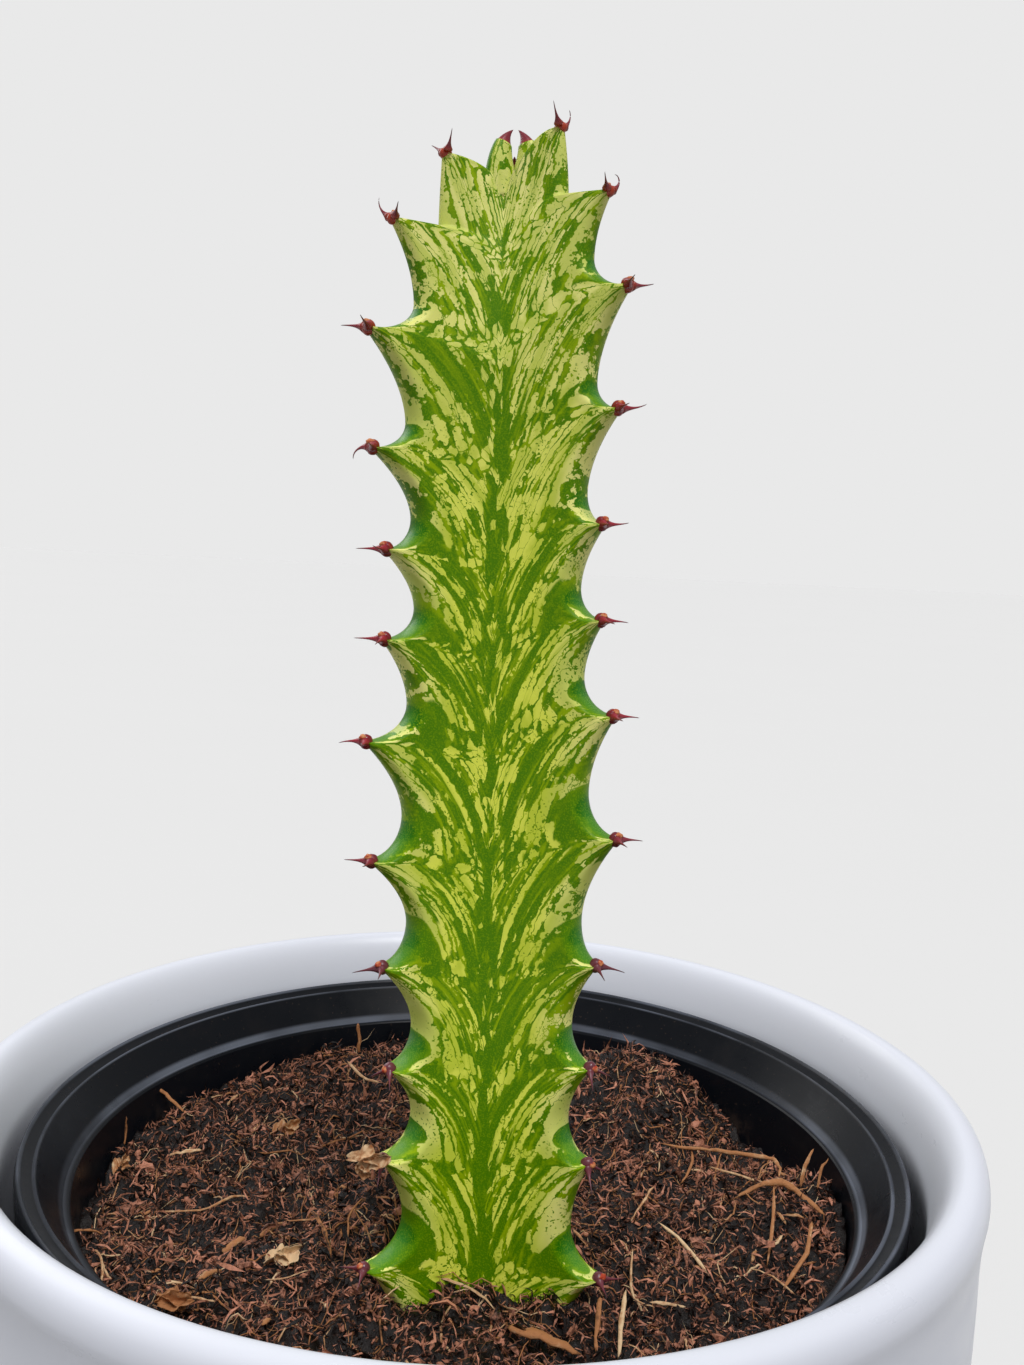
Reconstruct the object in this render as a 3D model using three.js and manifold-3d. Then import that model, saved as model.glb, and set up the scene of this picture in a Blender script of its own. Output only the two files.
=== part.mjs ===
// A potted mint cream African milk tree: one three-ribbed stem in a black nursery pot,
// which stands in a thick-rimmed white pot. Millimetres, +Z up, the front towards -Y.
// The origin is on the ground, on the axis of the pots.

import * as THREE from 'three';
import { mergeVertices } from 'three/addons/utils/BufferGeometryUtils.js';
import Module from 'manifold-3d';

const wasm = await Module();
wasm.setup();

// The clear gap that touching pieces keep, and the largest sliver that a cut or join may leave
const SEAT_GAP = 0.3;
const SLIVER = 0.02;

// Outer pot
const OUTER_HEIGHT = 142;
const OUTER_FLOOR = 5;
const OUTER_FOOT_RADIUS = 64;
const OUTER_HEEL_RADIUS = 76;
const OUTER_WAIST_RADIUS = 87.8;
const OUTER_WAIST_DEPTH = 16;
const OUTER_LIP_RADIUS = 88.6;
const OUTER_LIP_DEPTH = 5;
const OUTER_RIM_RADIUS = 84.6;
const OUTER_MOUTH_RADIUS = 79.4;
const OUTER_MOUTH_DEPTH = 11;
const POT_SEGMENTS = 60;

// Nursery pot
const NURSERY_WALL = 1.3;
const NURSERY_BASE = OUTER_FLOOR + SEAT_GAP;
const NURSERY_FLOOR = NURSERY_BASE + 1.5;
const NURSERY_RIM = 133.2;
const NURSERY_FOOT_RADIUS = 54;
const NURSERY_LEDGE_HEIGHT = 125.6;
const NURSERY_LEDGE_RADIUS = 68.2;
const NURSERY_SKIRT_RADIUS = 77;
const NURSERY_SKIRT_DEPTH = 11.8;
const DRAIN_HOLES = 8;
const DRAIN_HOLE_RADIUS = 4.5;
const DRAIN_RING_RADIUS = 38;

// Soil: its level, the mounds and hollows on it, and its rings and spokes
const SOIL_LEVEL = 119.5;
const SOIL_RINGS = 13;
const SOIL_SPOKES = 48;
const SOIL_MOUNDS = [
  { x: 3, y: -28, height: 2.6, spread: 16 },
  { x: 37, y: 43, height: 8.5, spread: 13 },
  { x: -24, y: 52, height: 2.4, spread: 17 },
  { x: 60, y: -8, height: 4.5, spread: 11 },
  { x: 56, y: 26, height: -4, spread: 9 },
  { x: -58, y: -14, height: -2.4, spread: 16 },
];

// Stem: its place in the pot, how far it leans and how deep it is buried
const STEM_X = 2.9;
const STEM_Y = -27;
const STEM_LEAN = -0.024;
const STEM_SOIL_LINE = 122;
const STEM_BURIED = 20;
const FOOT_REACH = 14;

// The ribs, counterclockwise: azimuth in degrees, notch depth against the teeth around it,
// and each tooth's height above the soil line and its reach from the stem's axis
const RIGHT_RIB = {
  azimuth: 330,
  notch: 0.77,
  topNotch: { radius: 5.4, rise: -5.2 },
  heights: [3.7, 21.5, 36.6, 52.7, 72.3, 90.5, 104.4, 118.4, 134.9, 152, 165.2, 173.9],
  reaches: [21.4, 18.9, 18.8, 19.3, 21.9, 20.8, 18.4, 18.1, 20.1, 21, 17.6, 9.7],
};
const LEFT_RIB = {
  azimuth: 210,
  notch: 0.7,
  topNotch: { radius: 3.6, rise: -2.2 },
  heights: [3.8, 20.7, 34.8, 50.9, 67.3, 85.2, 100.2, 113.3, 127.7, 144.3, 159.8, 168.9],
  reaches: [21, 18.1, 17.1, 18.6, 20.6, 21.7, 18.9, 18.8, 21.2, 22.1, 18.5, 10.3],
};
const BACK_RIB = {
  azimuth: 90,
  notch: 0.73,
  topNotch: { radius: 4, rise: -2 },
  heights: LEFT_RIB.heights.map((height, i) => height - 0.5 * (RIGHT_RIB.heights[i] - height)),
  reaches: LEFT_RIB.reaches.map((reach, i) => 0.5 * (reach + RIGHT_RIB.reaches[i])),
};
const RIBS = [RIGHT_RIB, BACK_RIB, LEFT_RIB];
const TEETH = RIGHT_RIB.heights.length;

// How far each notch but the top one lies above the tooth under it, the part of the way to the
// next tooth that it takes, and how far each tooth's spines point up, in degrees
const NOTCH_RISE = [6.4, 5.8, 5.7, 6, 6.2, 5.2, 4.4, 4.5, 3.9, 4.2, -0.2];
const YOUNG_NOTCH_RADIUS = 10.6;
const NOTCH_PLACE = 0.4;
const SPINE_TILT = [-12, -50, -45, -15, 0, 0, 0, 0, 5, 12, 50, 76];

// The hollow faces between the ribs, and the growing tip, a little right of the axis
const VALLEY_RADIUS = 7.6;
const VALLEY_DROP = 5;
const TIP_VALLEY_RADIUS = 2.6;
const EDGE_HALF_THICKNESS = 0.9;
const EDGE_ROUNDING = 1.7;
const APEX_HEIGHT = 168;
const APEX_SHIFT = 1.4;

// Shields, spines and the young teeth at the growing tip
const SHIELD_SIZE = { out: 1.1, across: 1.15, up: 1.6 };
const SPINE_LENGTH = 4.8;
const SPINE_RADIUS = 0.55;
const SPINE_SPREAD = 45;
const YOUNG_TOOTH_RADIUS = 1.8;
const YOUNG_TOOTH_HEIGHT = 5.2;
const BACK_YOUNG_TOOTH_HEIGHT = 2.4;

const radians = THREE.MathUtils.degToRad;
const lerp = THREE.MathUtils.lerp;

function solid(geometry) {
  const bare = new THREE.BufferGeometry();
  bare.setAttribute('position', geometry.getAttribute('position'));
  bare.setIndex(geometry.getIndex());
  const merged = mergeVertices(bare, 1e-4);
  const vertProperties = new Float32Array(merged.getAttribute('position').array);
  const triVerts = new Uint32Array(merged.getIndex().array).filter((_, i, corners) => {
    const first = i - (i % 3);
    const [a, b, c] = [corners[first], corners[first + 1], corners[first + 2]];
    return a !== b && b !== c && c !== a;
  });
  return new wasm.Manifold(new wasm.Mesh({ numProp: 3, vertProperties, triVerts }));
}

function geometryOf(body) {
  const mesh = body.getMesh();
  const geometry = new THREE.BufferGeometry();
  geometry.setAttribute('position', new THREE.BufferAttribute(mesh.vertProperties, 3));
  geometry.setIndex(new THREE.BufferAttribute(mesh.triVerts, 1));
  geometry.computeVertexNormals();
  return geometry;
}

// Turns an outline of radius and height, drawn from the axis at the bottom, up the outside
// and down the inside, about the Z axis
function turned(outline, segments) {
  const geometry = new THREE.LatheGeometry(outline.getPoints(5), segments);
  return geometry.rotateX(Math.PI / 2);
}

function outerPot() {
  const top = OUTER_HEIGHT;
  const waist = top - OUTER_WAIST_DEPTH;
  const lip = top - OUTER_LIP_DEPTH;
  const heel = OUTER_HEEL_RADIUS;
  const outline = new THREE.Path();
  outline.moveTo(0, 0);
  outline.lineTo(OUTER_FOOT_RADIUS, 0);
  outline.quadraticCurveTo(heel - 3, 0.5, heel, 10);
  outline.bezierCurveTo(heel + 6, 34, OUTER_LIP_RADIUS, 88, OUTER_WAIST_RADIUS, waist);
  outline.quadraticCurveTo(OUTER_WAIST_RADIUS, waist + 7, OUTER_LIP_RADIUS, lip);
  outline.quadraticCurveTo(OUTER_LIP_RADIUS, top, OUTER_RIM_RADIUS, top);
  outline.quadraticCurveTo(OUTER_RIM_RADIUS - 3.2, top - 0.6, OUTER_MOUTH_RADIUS, top - OUTER_MOUTH_DEPTH);
  outline.bezierCurveTo(OUTER_MOUTH_RADIUS, 100, heel, 42, OUTER_FOOT_RADIUS, OUTER_FLOOR + 3);
  outline.lineTo(OUTER_FOOT_RADIUS - 5, OUTER_FLOOR);
  outline.lineTo(0, OUTER_FLOOR);
  return turned(outline, POT_SEGMENTS);
}

// The inner radius of the nursery pot's tapered wall at a height
function nurseryInside(height) {
  const part = (height - NURSERY_FLOOR) / (NURSERY_LEDGE_HEIGHT - NURSERY_FLOOR);
  return lerp(NURSERY_FOOT_RADIUS - NURSERY_WALL, NURSERY_LEDGE_RADIUS, part);
}

function nurseryPot() {
  const rim = NURSERY_RIM;
  const skirt = NURSERY_SKIRT_RADIUS;
  const skirtFoot = rim - NURSERY_SKIRT_DEPTH;
  const ledge = NURSERY_LEDGE_RADIUS;
  const ledgeTop = NURSERY_LEDGE_HEIGHT;
  const underLedge = ledgeTop - NURSERY_WALL;
  const outside = [
    [0, NURSERY_BASE],
    [NURSERY_FOOT_RADIUS - 3, NURSERY_BASE],
    [NURSERY_FOOT_RADIUS, NURSERY_BASE + 3],
    [ledge + NURSERY_WALL, underLedge],
    [ledge + 3.6, underLedge + 0.6],
    [ledge + 4.9, rim - 4.4],
    [skirt - 1.9, rim - 2.2],
    [skirt - 1.7, skirtFoot],
    [skirt - 0.4, skirtFoot],
  ];
  const rimAndInside = [
    [skirt, rim - 1.6],
    [skirt - 0.5, rim - 0.3],
    [skirt - 1.6, rim],
    [skirt - 2.4, rim - 0.7],
    [ledge + 5.2, rim - 1.5],
    [ledge + 3.5, rim - 4],
    [ledge + 2.6, ledgeTop + 0.7],
    [ledge + 0.5, ledgeTop + 0.4],
    [ledge, ledgeTop],
    [nurseryInside(NURSERY_FLOOR + 2), NURSERY_FLOOR + 2],
    [nurseryInside(NURSERY_FLOOR) - 2, NURSERY_FLOOR],
    [0, NURSERY_FLOOR],
  ];
  const points = [...outside, ...rimAndInside].map(([x, y]) => new THREE.Vector2(x, y));
  const outline = new THREE.Path(points);
  let body = solid(turned(outline, POT_SEGMENTS));
  for (let i = 0; i < DRAIN_HOLES; i += 1) {
    const angle = (i / DRAIN_HOLES) * Math.PI * 2;
    const drill = new THREE.CylinderGeometry(DRAIN_HOLE_RADIUS, DRAIN_HOLE_RADIUS, 6, 12);
    drill.rotateX(Math.PI / 2);
    drill.translate(
      DRAIN_RING_RADIUS * Math.cos(angle),
      DRAIN_RING_RADIUS * Math.sin(angle),
      NURSERY_BASE,
    );
    body = body.subtract(solid(drill));
  }
  return geometryOf(body);
}

// The mounds and hollows with low lumps over them
function soilHeight(x, y) {
  const lumps = 0.7 * Math.sin(0.21 * x + 1) * Math.cos(0.25 * y)
    + 0.45 * Math.sin(0.43 * x - 0.31 * y + 2);
  return SOIL_MOUNDS.reduce((height, mound) => {
    const away = Math.hypot(x - mound.x, y - mound.y) / mound.spread;
    return height + mound.height * Math.exp(-0.5 * away ** 2);
  }, SOIL_LEVEL + lumps);
}

// The soil fills the nursery pot and is cut by the stem's own hole
function soil() {
  const floor = NURSERY_FLOOR + SEAT_GAP;
  const rimRadius = nurseryInside(SOIL_LEVEL) - 1.2;
  const outline = new THREE.Path();
  outline.moveTo(0, floor);
  outline.lineTo(nurseryInside(floor) - 2.6, floor);
  outline.lineTo(nurseryInside(floor + 3) - 0.6, floor + 3);
  outline.lineTo(rimRadius, SOIL_LEVEL);
  for (let ring = SOIL_RINGS - 1; ring >= 0; ring -= 1) {
    outline.lineTo((rimRadius * ring) / SOIL_RINGS, SOIL_LEVEL);
  }
  const geometry = turned(outline, SOIL_SPOKES);
  const position = geometry.getAttribute('position');
  for (let i = 0; i < position.count; i += 1) {
    if (position.getZ(i) > SOIL_LEVEL - 1) {
      position.setZ(i, soilHeight(position.getX(i), position.getY(i)));
    }
  }
  return geometryOf(solid(geometry).subtract(stemBody(SEAT_GAP)).simplify(SLIVER));
}

// The lowest point of a rib's edge between a tooth and the next one up
function notchAbove(rib, tooth) {
  if (tooth === TEETH - 1) {
    const { radius, rise } = rib.topNotch;
    return { radius, height: rib.heights[tooth] + rise };
  }
  const height = rib.heights[tooth] + NOTCH_RISE[tooth];
  if (tooth === TEETH - 2) {
    return { radius: YOUNG_NOTCH_RADIUS, height };
  }
  return { radius: 0.5 * rib.notch * (rib.reaches[tooth] + rib.reaches[tooth + 1]), height };
}

// Where a rib's edge runs at a place along the stem, counted in teeth from the lowest one:
// in along the top of a tooth to the notch, then out along the lower flank of the next
function ribEdge(rib, place) {
  if (place < 0) {
    const depth = Math.min(-place, 1);
    const foot = -STEM_BURIED;
    return {
      radius: lerp(rib.reaches[0], FOOT_REACH, Math.min(1, 2 * depth) ** 0.6),
      height: lerp(rib.heights[0], foot, depth),
    };
  }
  const tooth = Math.min(Math.floor(place), TEETH - 1);
  const along = place - tooth;
  const next = tooth + 1;
  const tip = { radius: rib.reaches[tooth], height: rib.heights[tooth] };
  const notch = notchAbove(rib, tooth);
  if (along <= NOTCH_PLACE || next === TEETH) {
    const turn = (Math.min(along / NOTCH_PLACE, 1) * Math.PI) / 2;
    return {
      radius: lerp(tip.radius, notch.radius, Math.sin(turn)),
      height: lerp(tip.height, notch.height, 1 - Math.cos(turn)),
    };
  }
  const share = (along - NOTCH_PLACE) / (1 - NOTCH_PLACE);
  return {
    radius: lerp(notch.radius, rib.reaches[next], share ** 1.8),
    height: lerp(notch.height, rib.heights[next], share),
  };
}

// The deepest line of the faces at the same place, where two ribs meet
function valley(place) {
  const mean = (tooth) => RIBS.reduce((sum, rib) => sum + rib.heights[tooth] / 3, 0);
  if (place < 0) {
    return { radius: VALLEY_RADIUS, height: lerp(mean(0) - VALLEY_DROP, -STEM_BURIED, -place) };
  }
  const tooth = Math.min(Math.floor(place), TEETH - 1);
  const next = Math.min(tooth + 1, TEETH - 1);
  const drop = (which) => VALLEY_DROP + Math.max(0, which - TEETH + 3);
  const height = lerp(mean(tooth) - drop(tooth), mean(next) - drop(next), place - tooth);
  const young = Math.max(0, place - TEETH + 3) / (2 + NOTCH_PLACE);
  const tip = tooth === next ? (place - tooth) / NOTCH_PLACE : 0;
  return {
    radius: lerp(VALLEY_RADIUS, TIP_VALLEY_RADIUS, young),
    height: lerp(height, APEX_HEIGHT - TIP_VALLEY_RADIUS, tip),
  };
}

// The places along the stem where it has a ring of points
function places() {
  const steps = [0, 0.1, 0.22, NOTCH_PLACE, 0.6, 0.78, 0.9];
  const rings = [-1, -0.7, -0.5, -0.3, -0.12];
  for (let tooth = 0; tooth < TEETH; tooth += 1) {
    rings.push(...steps.map((step) => tooth + step));
  }
  return rings.filter((place) => place <= TEETH - 1 + NOTCH_PLACE);
}

// One side of a rib from the valley to its edge, as distance out along the rib, half
// thickness there, and height
function flank(edge, deep, grow) {
  const start = 0.5 * deep.radius;
  const thick = Math.sin(Math.PI / 3) * deep.radius;
  const rounding = Math.min(EDGE_ROUNDING, 0.3 * edge.radius);
  const capStart = edge.radius - rounding;
  const thin = Math.min(EDGE_HALF_THICKNESS, 0.5 * thick);
  const curve = (thick - thin) / Math.tan(Math.PI / 6);
  const point = (out, narrow) => {
    const share = Math.max(0, (out - start) / (edge.radius - start));
    const half = thin + (thick - thin) * Math.exp(-(out - start) / curve);
    return {
      out: out + grow * share,
      half: half * narrow + grow * narrow,
      height: lerp(deep.height, edge.height, 1 - (1 - share) ** 1.8),
    };
  };
  return [
    point(lerp(start, capStart, 0.33), 1),
    point(lerp(start, capStart, 0.7), 1),
    point(capStart, 1),
    point(capStart + 0.75 * rounding, 0.66),
  ];
}

// How far right the stem's leaning axis stands at a height above the soil line
function stemAxis(height) {
  return STEM_X + STEM_LEAN * height;
}

// The stem without its shields and spines, made larger all round by grow
function stemBody(grow = 0) {
  const corners = [];
  const stemPoint = (x, y, height) => {
    corners.push(stemAxis(height) + x, STEM_Y + y, STEM_SOIL_LINE + height);
  };
  const rings = places();
  rings.forEach((place) => {
    const deep = valley(place);
    RIBS.forEach((rib) => {
      const angle = radians(rib.azimuth);
      const edge = ribEdge(rib, place);
      const side = flank(edge, deep, grow);
      const across = (out, half, height) => stemPoint(
        out * Math.cos(angle) - half * Math.sin(angle),
        out * Math.sin(angle) + half * Math.cos(angle),
        height,
      );
      const inward = angle - Math.PI / 3;
      const bottom = deep.radius + grow;
      stemPoint(bottom * Math.cos(inward), bottom * Math.sin(inward), deep.height);
      side.forEach((point) => across(point.out, -point.half, point.height));
      across(edge.radius + grow, 0, edge.height);
      side.reverse().forEach((point) => across(point.out, point.half, point.height));
    });
  });
  const count = corners.length / 3 / rings.length;
  stemPoint(0, 0, -STEM_BURIED - 2 - grow);
  stemPoint(APEX_SHIFT, 0, APEX_HEIGHT + grow);
  const low = rings.length * count;
  const faces = [];
  for (let around = 0; around < count; around += 1) {
    const beside = (around + 1) % count;
    faces.push(low, beside, around);
    for (let ring = 0; ring < rings.length - 1; ring += 1) {
      const [a, b] = [ring * count + around, ring * count + beside];
      faces.push(a, b, b + count, a, b + count, a + count);
    }
    const last = (rings.length - 1) * count;
    faces.push(low + 1, last + around, last + beside);
  }
  const geometry = new THREE.BufferGeometry();
  geometry.setAttribute('position', new THREE.Float32BufferAttribute(corners, 3));
  geometry.setIndex(faces);
  return solid(geometry);
}

// A horny shield on a tooth's tip with its two spines, sunk into the tooth
function toothArmour(rib, tooth) {
  const tilt = radians(SPINE_TILT[tooth]);
  const young = tooth > TEETH - 3 ? 0.85 : 1;
  const out = rib.reaches[tooth] - 0.5;
  const shield = new THREE.IcosahedronGeometry(1, 0);
  shield.scale(SHIELD_SIZE.out * young, SHIELD_SIZE.across * young, SHIELD_SIZE.up * young);
  const pieces = [shield];
  [-1, 1].forEach((side) => {
    const spine = new THREE.ConeGeometry(SPINE_RADIUS * young, SPINE_LENGTH + 0.6, 5);
    spine.rotateZ(-Math.PI / 2);
    spine.translate(SPINE_LENGTH / 2 + 0.3, 0, 0);
    spine.rotateZ(side * radians(SPINE_SPREAD));
    pieces.push(spine);
  });
  return pieces.map((piece) => {
    piece.rotateY(-tilt);
    piece.translate(out, 0, rib.heights[tooth]);
    piece.rotateZ(radians(rib.azimuth));
    piece.translate(stemAxis(rib.heights[tooth]), STEM_Y, STEM_SOIL_LINE);
    return solid(piece);
  });
}

// A young tooth, bent in over the growing tip
function youngTooth(rib, height) {
  const bend = new THREE.QuadraticBezierCurve3(
    new THREE.Vector3(2.4, 0, -3.2),
    new THREE.Vector3(3.6, 0, height * 0.6),
    new THREE.Vector3(1, 0, height),
  );
  const steps = 4;
  const sides = 7;
  const horn = new THREE.CylinderGeometry(0.2, 1, 1, sides, steps);
  const position = horn.getAttribute('position');
  for (let i = 0; i < position.count; i += 1) {
    const along = position.getY(i) + 0.5;
    const centre = bend.getPointAt(along);
    const heading = bend.getTangentAt(along);
    const width = YOUNG_TOOTH_RADIUS * (1 - 0.85 * along ** 1.4);
    const ring = Math.hypot(position.getX(i), position.getZ(i));
    const share = ring > 0 ? width / ring : 0;
    const outward = position.getX(i) * share;
    position.setXYZ(
      i,
      centre.x + outward * heading.z,
      -position.getZ(i) * share,
      centre.z - outward * heading.x,
    );
  }
  horn.rotateZ(radians(rib.azimuth));
  horn.translate(stemAxis(APEX_HEIGHT) + APEX_SHIFT, STEM_Y, STEM_SOIL_LINE + APEX_HEIGHT);
  return solid(horn);
}

function stem() {
  const parts = [stemBody()];
  RIBS.forEach((rib) => {
    for (let tooth = 0; tooth < TEETH; tooth += 1) {
      parts.push(...toothArmour(rib, tooth));
    }
    const height = rib === BACK_RIB ? BACK_YOUNG_TOOTH_HEIGHT : YOUNG_TOOTH_HEIGHT;
    parts.push(youngTooth(rib, height));
  });
  return geometryOf(parts.reduce((whole, part) => whole.add(part)).simplify(SLIVER));
}

function piece(name, geometry, colour, roughness) {
  const material = new THREE.MeshStandardMaterial({ color: colour, roughness, metalness: 0 });
  const mesh = new THREE.Mesh(geometry, material);
  mesh.name = name;
  return mesh;
}

const plant = new THREE.Group();
plant.name = 'potted_milk_tree';
plant.add(piece('outer_pot', outerPot(), 0xeef0f6, 0.4));
plant.add(piece('nursery_pot', nurseryPot(), 0x17191c, 0.35));
plant.add(piece('soil', soil(), 0x4b2c22, 0.95));
plant.add(piece('stem', stem(), 0x7da63c, 0.45));

export default plant;
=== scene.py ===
"""A potted mint cream African milk tree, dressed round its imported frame.

One three-ribbed stem with cream streaks and paired spines stands in coir soil, in a black
nursery pot inside a thick-rimmed white pot. The scene is in metres, +Z up, the front towards
-Y. The plant's and the soil's own sizes are in millimetres, as they are measured.
"""

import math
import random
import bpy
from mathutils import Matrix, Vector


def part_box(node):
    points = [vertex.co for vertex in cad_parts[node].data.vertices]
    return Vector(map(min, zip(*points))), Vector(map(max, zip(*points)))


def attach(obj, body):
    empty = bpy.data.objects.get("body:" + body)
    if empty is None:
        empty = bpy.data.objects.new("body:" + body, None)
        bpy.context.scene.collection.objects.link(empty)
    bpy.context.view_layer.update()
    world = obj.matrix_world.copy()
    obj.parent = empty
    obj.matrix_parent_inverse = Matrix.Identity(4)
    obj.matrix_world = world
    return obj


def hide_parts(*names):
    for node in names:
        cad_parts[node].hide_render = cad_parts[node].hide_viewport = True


bl_info = {
    "name": "Potted Milk Tree",
    "version": (1, 0, 0),
    "blender": (4, 5, 0),
    "location": "3D View > Sidebar > Milk Tree",
    "description": "Builds a variegated African milk tree in its two pots",
    "category": "Add Mesh",
}

import bmesh
import bpy
from bpy.props import FloatProperty, FloatVectorProperty, IntProperty, PointerProperty
from mathutils import Matrix, Vector, noise
from mathutils.geometry import interpolate_bezier

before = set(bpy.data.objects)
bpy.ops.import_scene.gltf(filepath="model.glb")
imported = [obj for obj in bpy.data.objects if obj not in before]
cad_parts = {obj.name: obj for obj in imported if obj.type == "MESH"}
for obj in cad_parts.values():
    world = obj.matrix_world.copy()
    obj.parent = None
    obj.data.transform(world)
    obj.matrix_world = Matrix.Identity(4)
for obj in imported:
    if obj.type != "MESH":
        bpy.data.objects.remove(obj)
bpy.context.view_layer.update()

MM = 0.001

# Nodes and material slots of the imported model
OUTER_POT, NURSERY_POT, SOIL, STEM = "outer_pot", "nursery_pot", "soil", "stem"

# The camera, fitted to the pots' rims and the stem: metres and degrees
CAMERA_PLACE = (0.0, -0.2257315, 0.2366187)
CAMERA_PITCH = 5.98999048
CAMERA_YAW = 1.02333291
CAMERA_ROLL = 2.73297211
IMAGE_HEIGHT_PIXELS = 1365
FOCAL_LENGTH_PIXELS = 1300
SENSOR_MM = 36

# The white pot's section in millimetres. Its top and the breadth of its lip are the frame's
OUTER_FLOOR = 5.0
OUTER_FOOT_RADIUS = 64.0
OUTER_HEEL_RADIUS = 76.0
OUTER_HEEL_HEIGHT = 10.0
OUTER_WAIST_RADIUS = 87.8
OUTER_WAIST_DEPTH = 16.0
OUTER_LIP_DEPTH = 5.0
OUTER_RIM_RADIUS = 84.6
OUTER_MOUTH_RADIUS = 79.4
OUTER_MOUTH_DEPTH = 11.0

# The nursery pot's section in millimetres. Its rim and its skirt's breadth are the frame's
NURSERY_BASE = 5.3
NURSERY_FLOOR = 6.8
NURSERY_WALL = 1.3
NURSERY_FOOT_RADIUS = 54.0
NURSERY_LEDGE_RADIUS = 68.2
NURSERY_LEDGE_HEIGHT = 125.6
NURSERY_SKIRT_DEPTH = 11.8
SOFT_EDGE = 0.45
SOFT_EDGE_ANGLE = 14

# Drain holes in the nursery pot's floor: their number, radius and ring, millimetres
DRAIN_HOLES = 8
DRAIN_HOLE_RADIUS = 4.5
DRAIN_RING_RADIUS = 38.0
DRILL_LENGTH = 8.0
DRILL_HEIGHT = 6.0

# Where highlight lines are painted on the nursery pot: radius and half breadth of each edge, and the
# heights between which the painted highlight sets in. Then those between which the soil's dust thins
# out
PAINTED_HIGHLIGHT_EDGES = ((76.3, 0.5), (73.9, 0.45), (69.5, 0.9))
PAINTED_HIGHLIGHT_HEIGHTS = (124.0, 125.5)
DUST_HEIGHTS = (114.0, 124.0)

# The stem's place in the pot and how it leans, millimetres
STEM_X = 2.9
STEM_Y = -27.0
STEM_LEAN = -0.024
SOIL_LINE = 122.0
BURIED = 20.0
FOOT_REACH = 14.0

# The ribs, counterclockwise: azimuth in degrees, notch depth against the teeth around it,
# and each tooth's height above the soil line and its reach from the stem's axis
RIGHT_RIB = {
    "azimuth": 330,
    "notch": 0.77,
    "top_notch": (5.4, -5.2),
    "heights": (3.7, 21.5, 36.6, 52.7, 72.3, 90.5, 104.4, 118.4, 134.9, 152, 165.2, 174.7),
    "reaches": (21.4, 18.9, 18.8, 19.3, 21.9, 20.8, 18.4, 18.1, 20.1, 21, 17.6, 9.7),
}
LEFT_RIB = {
    "azimuth": 210,
    "notch": 0.7,
    "top_notch": (3.6, -2.2),
    "heights": (3.8, 20.7, 34.8, 50.9, 67.3, 85.2, 100.2, 113.3, 127.7, 144.3, 159.8, 170.2),
    "reaches": (21, 18.1, 17.1, 18.6, 20.6, 21.7, 18.9, 18.8, 21.2, 22.1, 18.5, 10.3),
}
BACK_RIB = {
    "azimuth": 90,
    "notch": 0.73,
    "top_notch": (4, -2),
    "heights": tuple(
        left - 0.5 * (right - left)
        for left, right in zip(LEFT_RIB["heights"], RIGHT_RIB["heights"])
    ),
    "reaches": tuple(
        0.5 * (left + right)
        for left, right in zip(LEFT_RIB["reaches"], RIGHT_RIB["reaches"])
    ),
}
RIBS = (RIGHT_RIB, BACK_RIB, LEFT_RIB)
TEETH = len(RIGHT_RIB["heights"])
NOTCH_RISE = (6.4, 5.8, 5.7, 6, 6.2, 5.2, 4.4, 4.5, 3.9, 4.2, -0.2)
YOUNG_NOTCH_RADIUS = 10.6
NOTCH_PLACE = 0.4
TOOTH_SPACING = 16.0
TOP_PLACE = TEETH - 1 + NOTCH_PLACE

# The hollow faces between the ribs, and the growing tip
VALLEY_RADIUS = 7.6
VALLEY_DROP = 5.0
TIP_VALLEY_RADIUS = 2.6
EDGE_HALF_THICKNESS = 0.9
EDGE_ROUNDING = 1.7
APEX_HEIGHT = 169.2
APEX_SHIFT = 1.4

# The young teeth round the growing tip, and where along them their horns start
YOUNG_HEIGHT = 6.2
BACK_YOUNG_HEIGHT = 2.6
YOUNG_RADIUS = 1.9
YOUNG_STEPS = 16
HORN_START = 0.6
HORN_STEPS = 10

# The skin's streaks: their grain across the flow, along it and from face to face, and that
# of the upright flecks in a face's middle. Then the heights between which the skin pales
STREAK_GRAIN = (3.3, 0.2, 1.0)
FLECK_GRAIN = (6.0, 0.27, 1.0)
THREAD_GRAIN = (14.0, 0.32, 1.0)
UPRIGHT_GRAIN = (1000.0, 1000.0, 290.0)
PALE_HEIGHTS = (225.0, 290.0)

# Shields and leaf scars: half sizes out, aside and up, and the scar's place on its shield
SHIELD_SIZE = Vector((1.0, 0.95, 1.15))
SHIELD_DEPTH = 0.5
SCAR_SIZE = Vector((0.62, 0.62, 0.46))
SCAR_PLACE = Vector((0.48, 0.0, 0.66))
YOUNG_SHIELD_SCALE = 0.85

# Spines: their lift in degrees tooth by tooth, their spread and how much each one strays
SPINE_LIFT = (-12, -50, -45, -15, 0, 0, 0, 0, 5, 12, 50, 76)
SPINE_SPREAD = 45
YOUNG_SPINE_SPREAD = 58
SPREAD_STRAY = 5
BEND_STRAY = 9
SPINE_LENGTH = 4.7
SPINE_STEPS = 13

# Spines that curl more than the rest: rib, tooth and side, then degrees upwards
CURLED_SPINES = {
    (0, 11, -1): 14,
    (0, 11, 1): 95,
    (0, 10, 1): 150,
    (0, 8, 1): 25,
    (2, 11, 1): 18,
    (2, 10, -1): 70,
    (2, 8, -1): -100,
}

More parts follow.
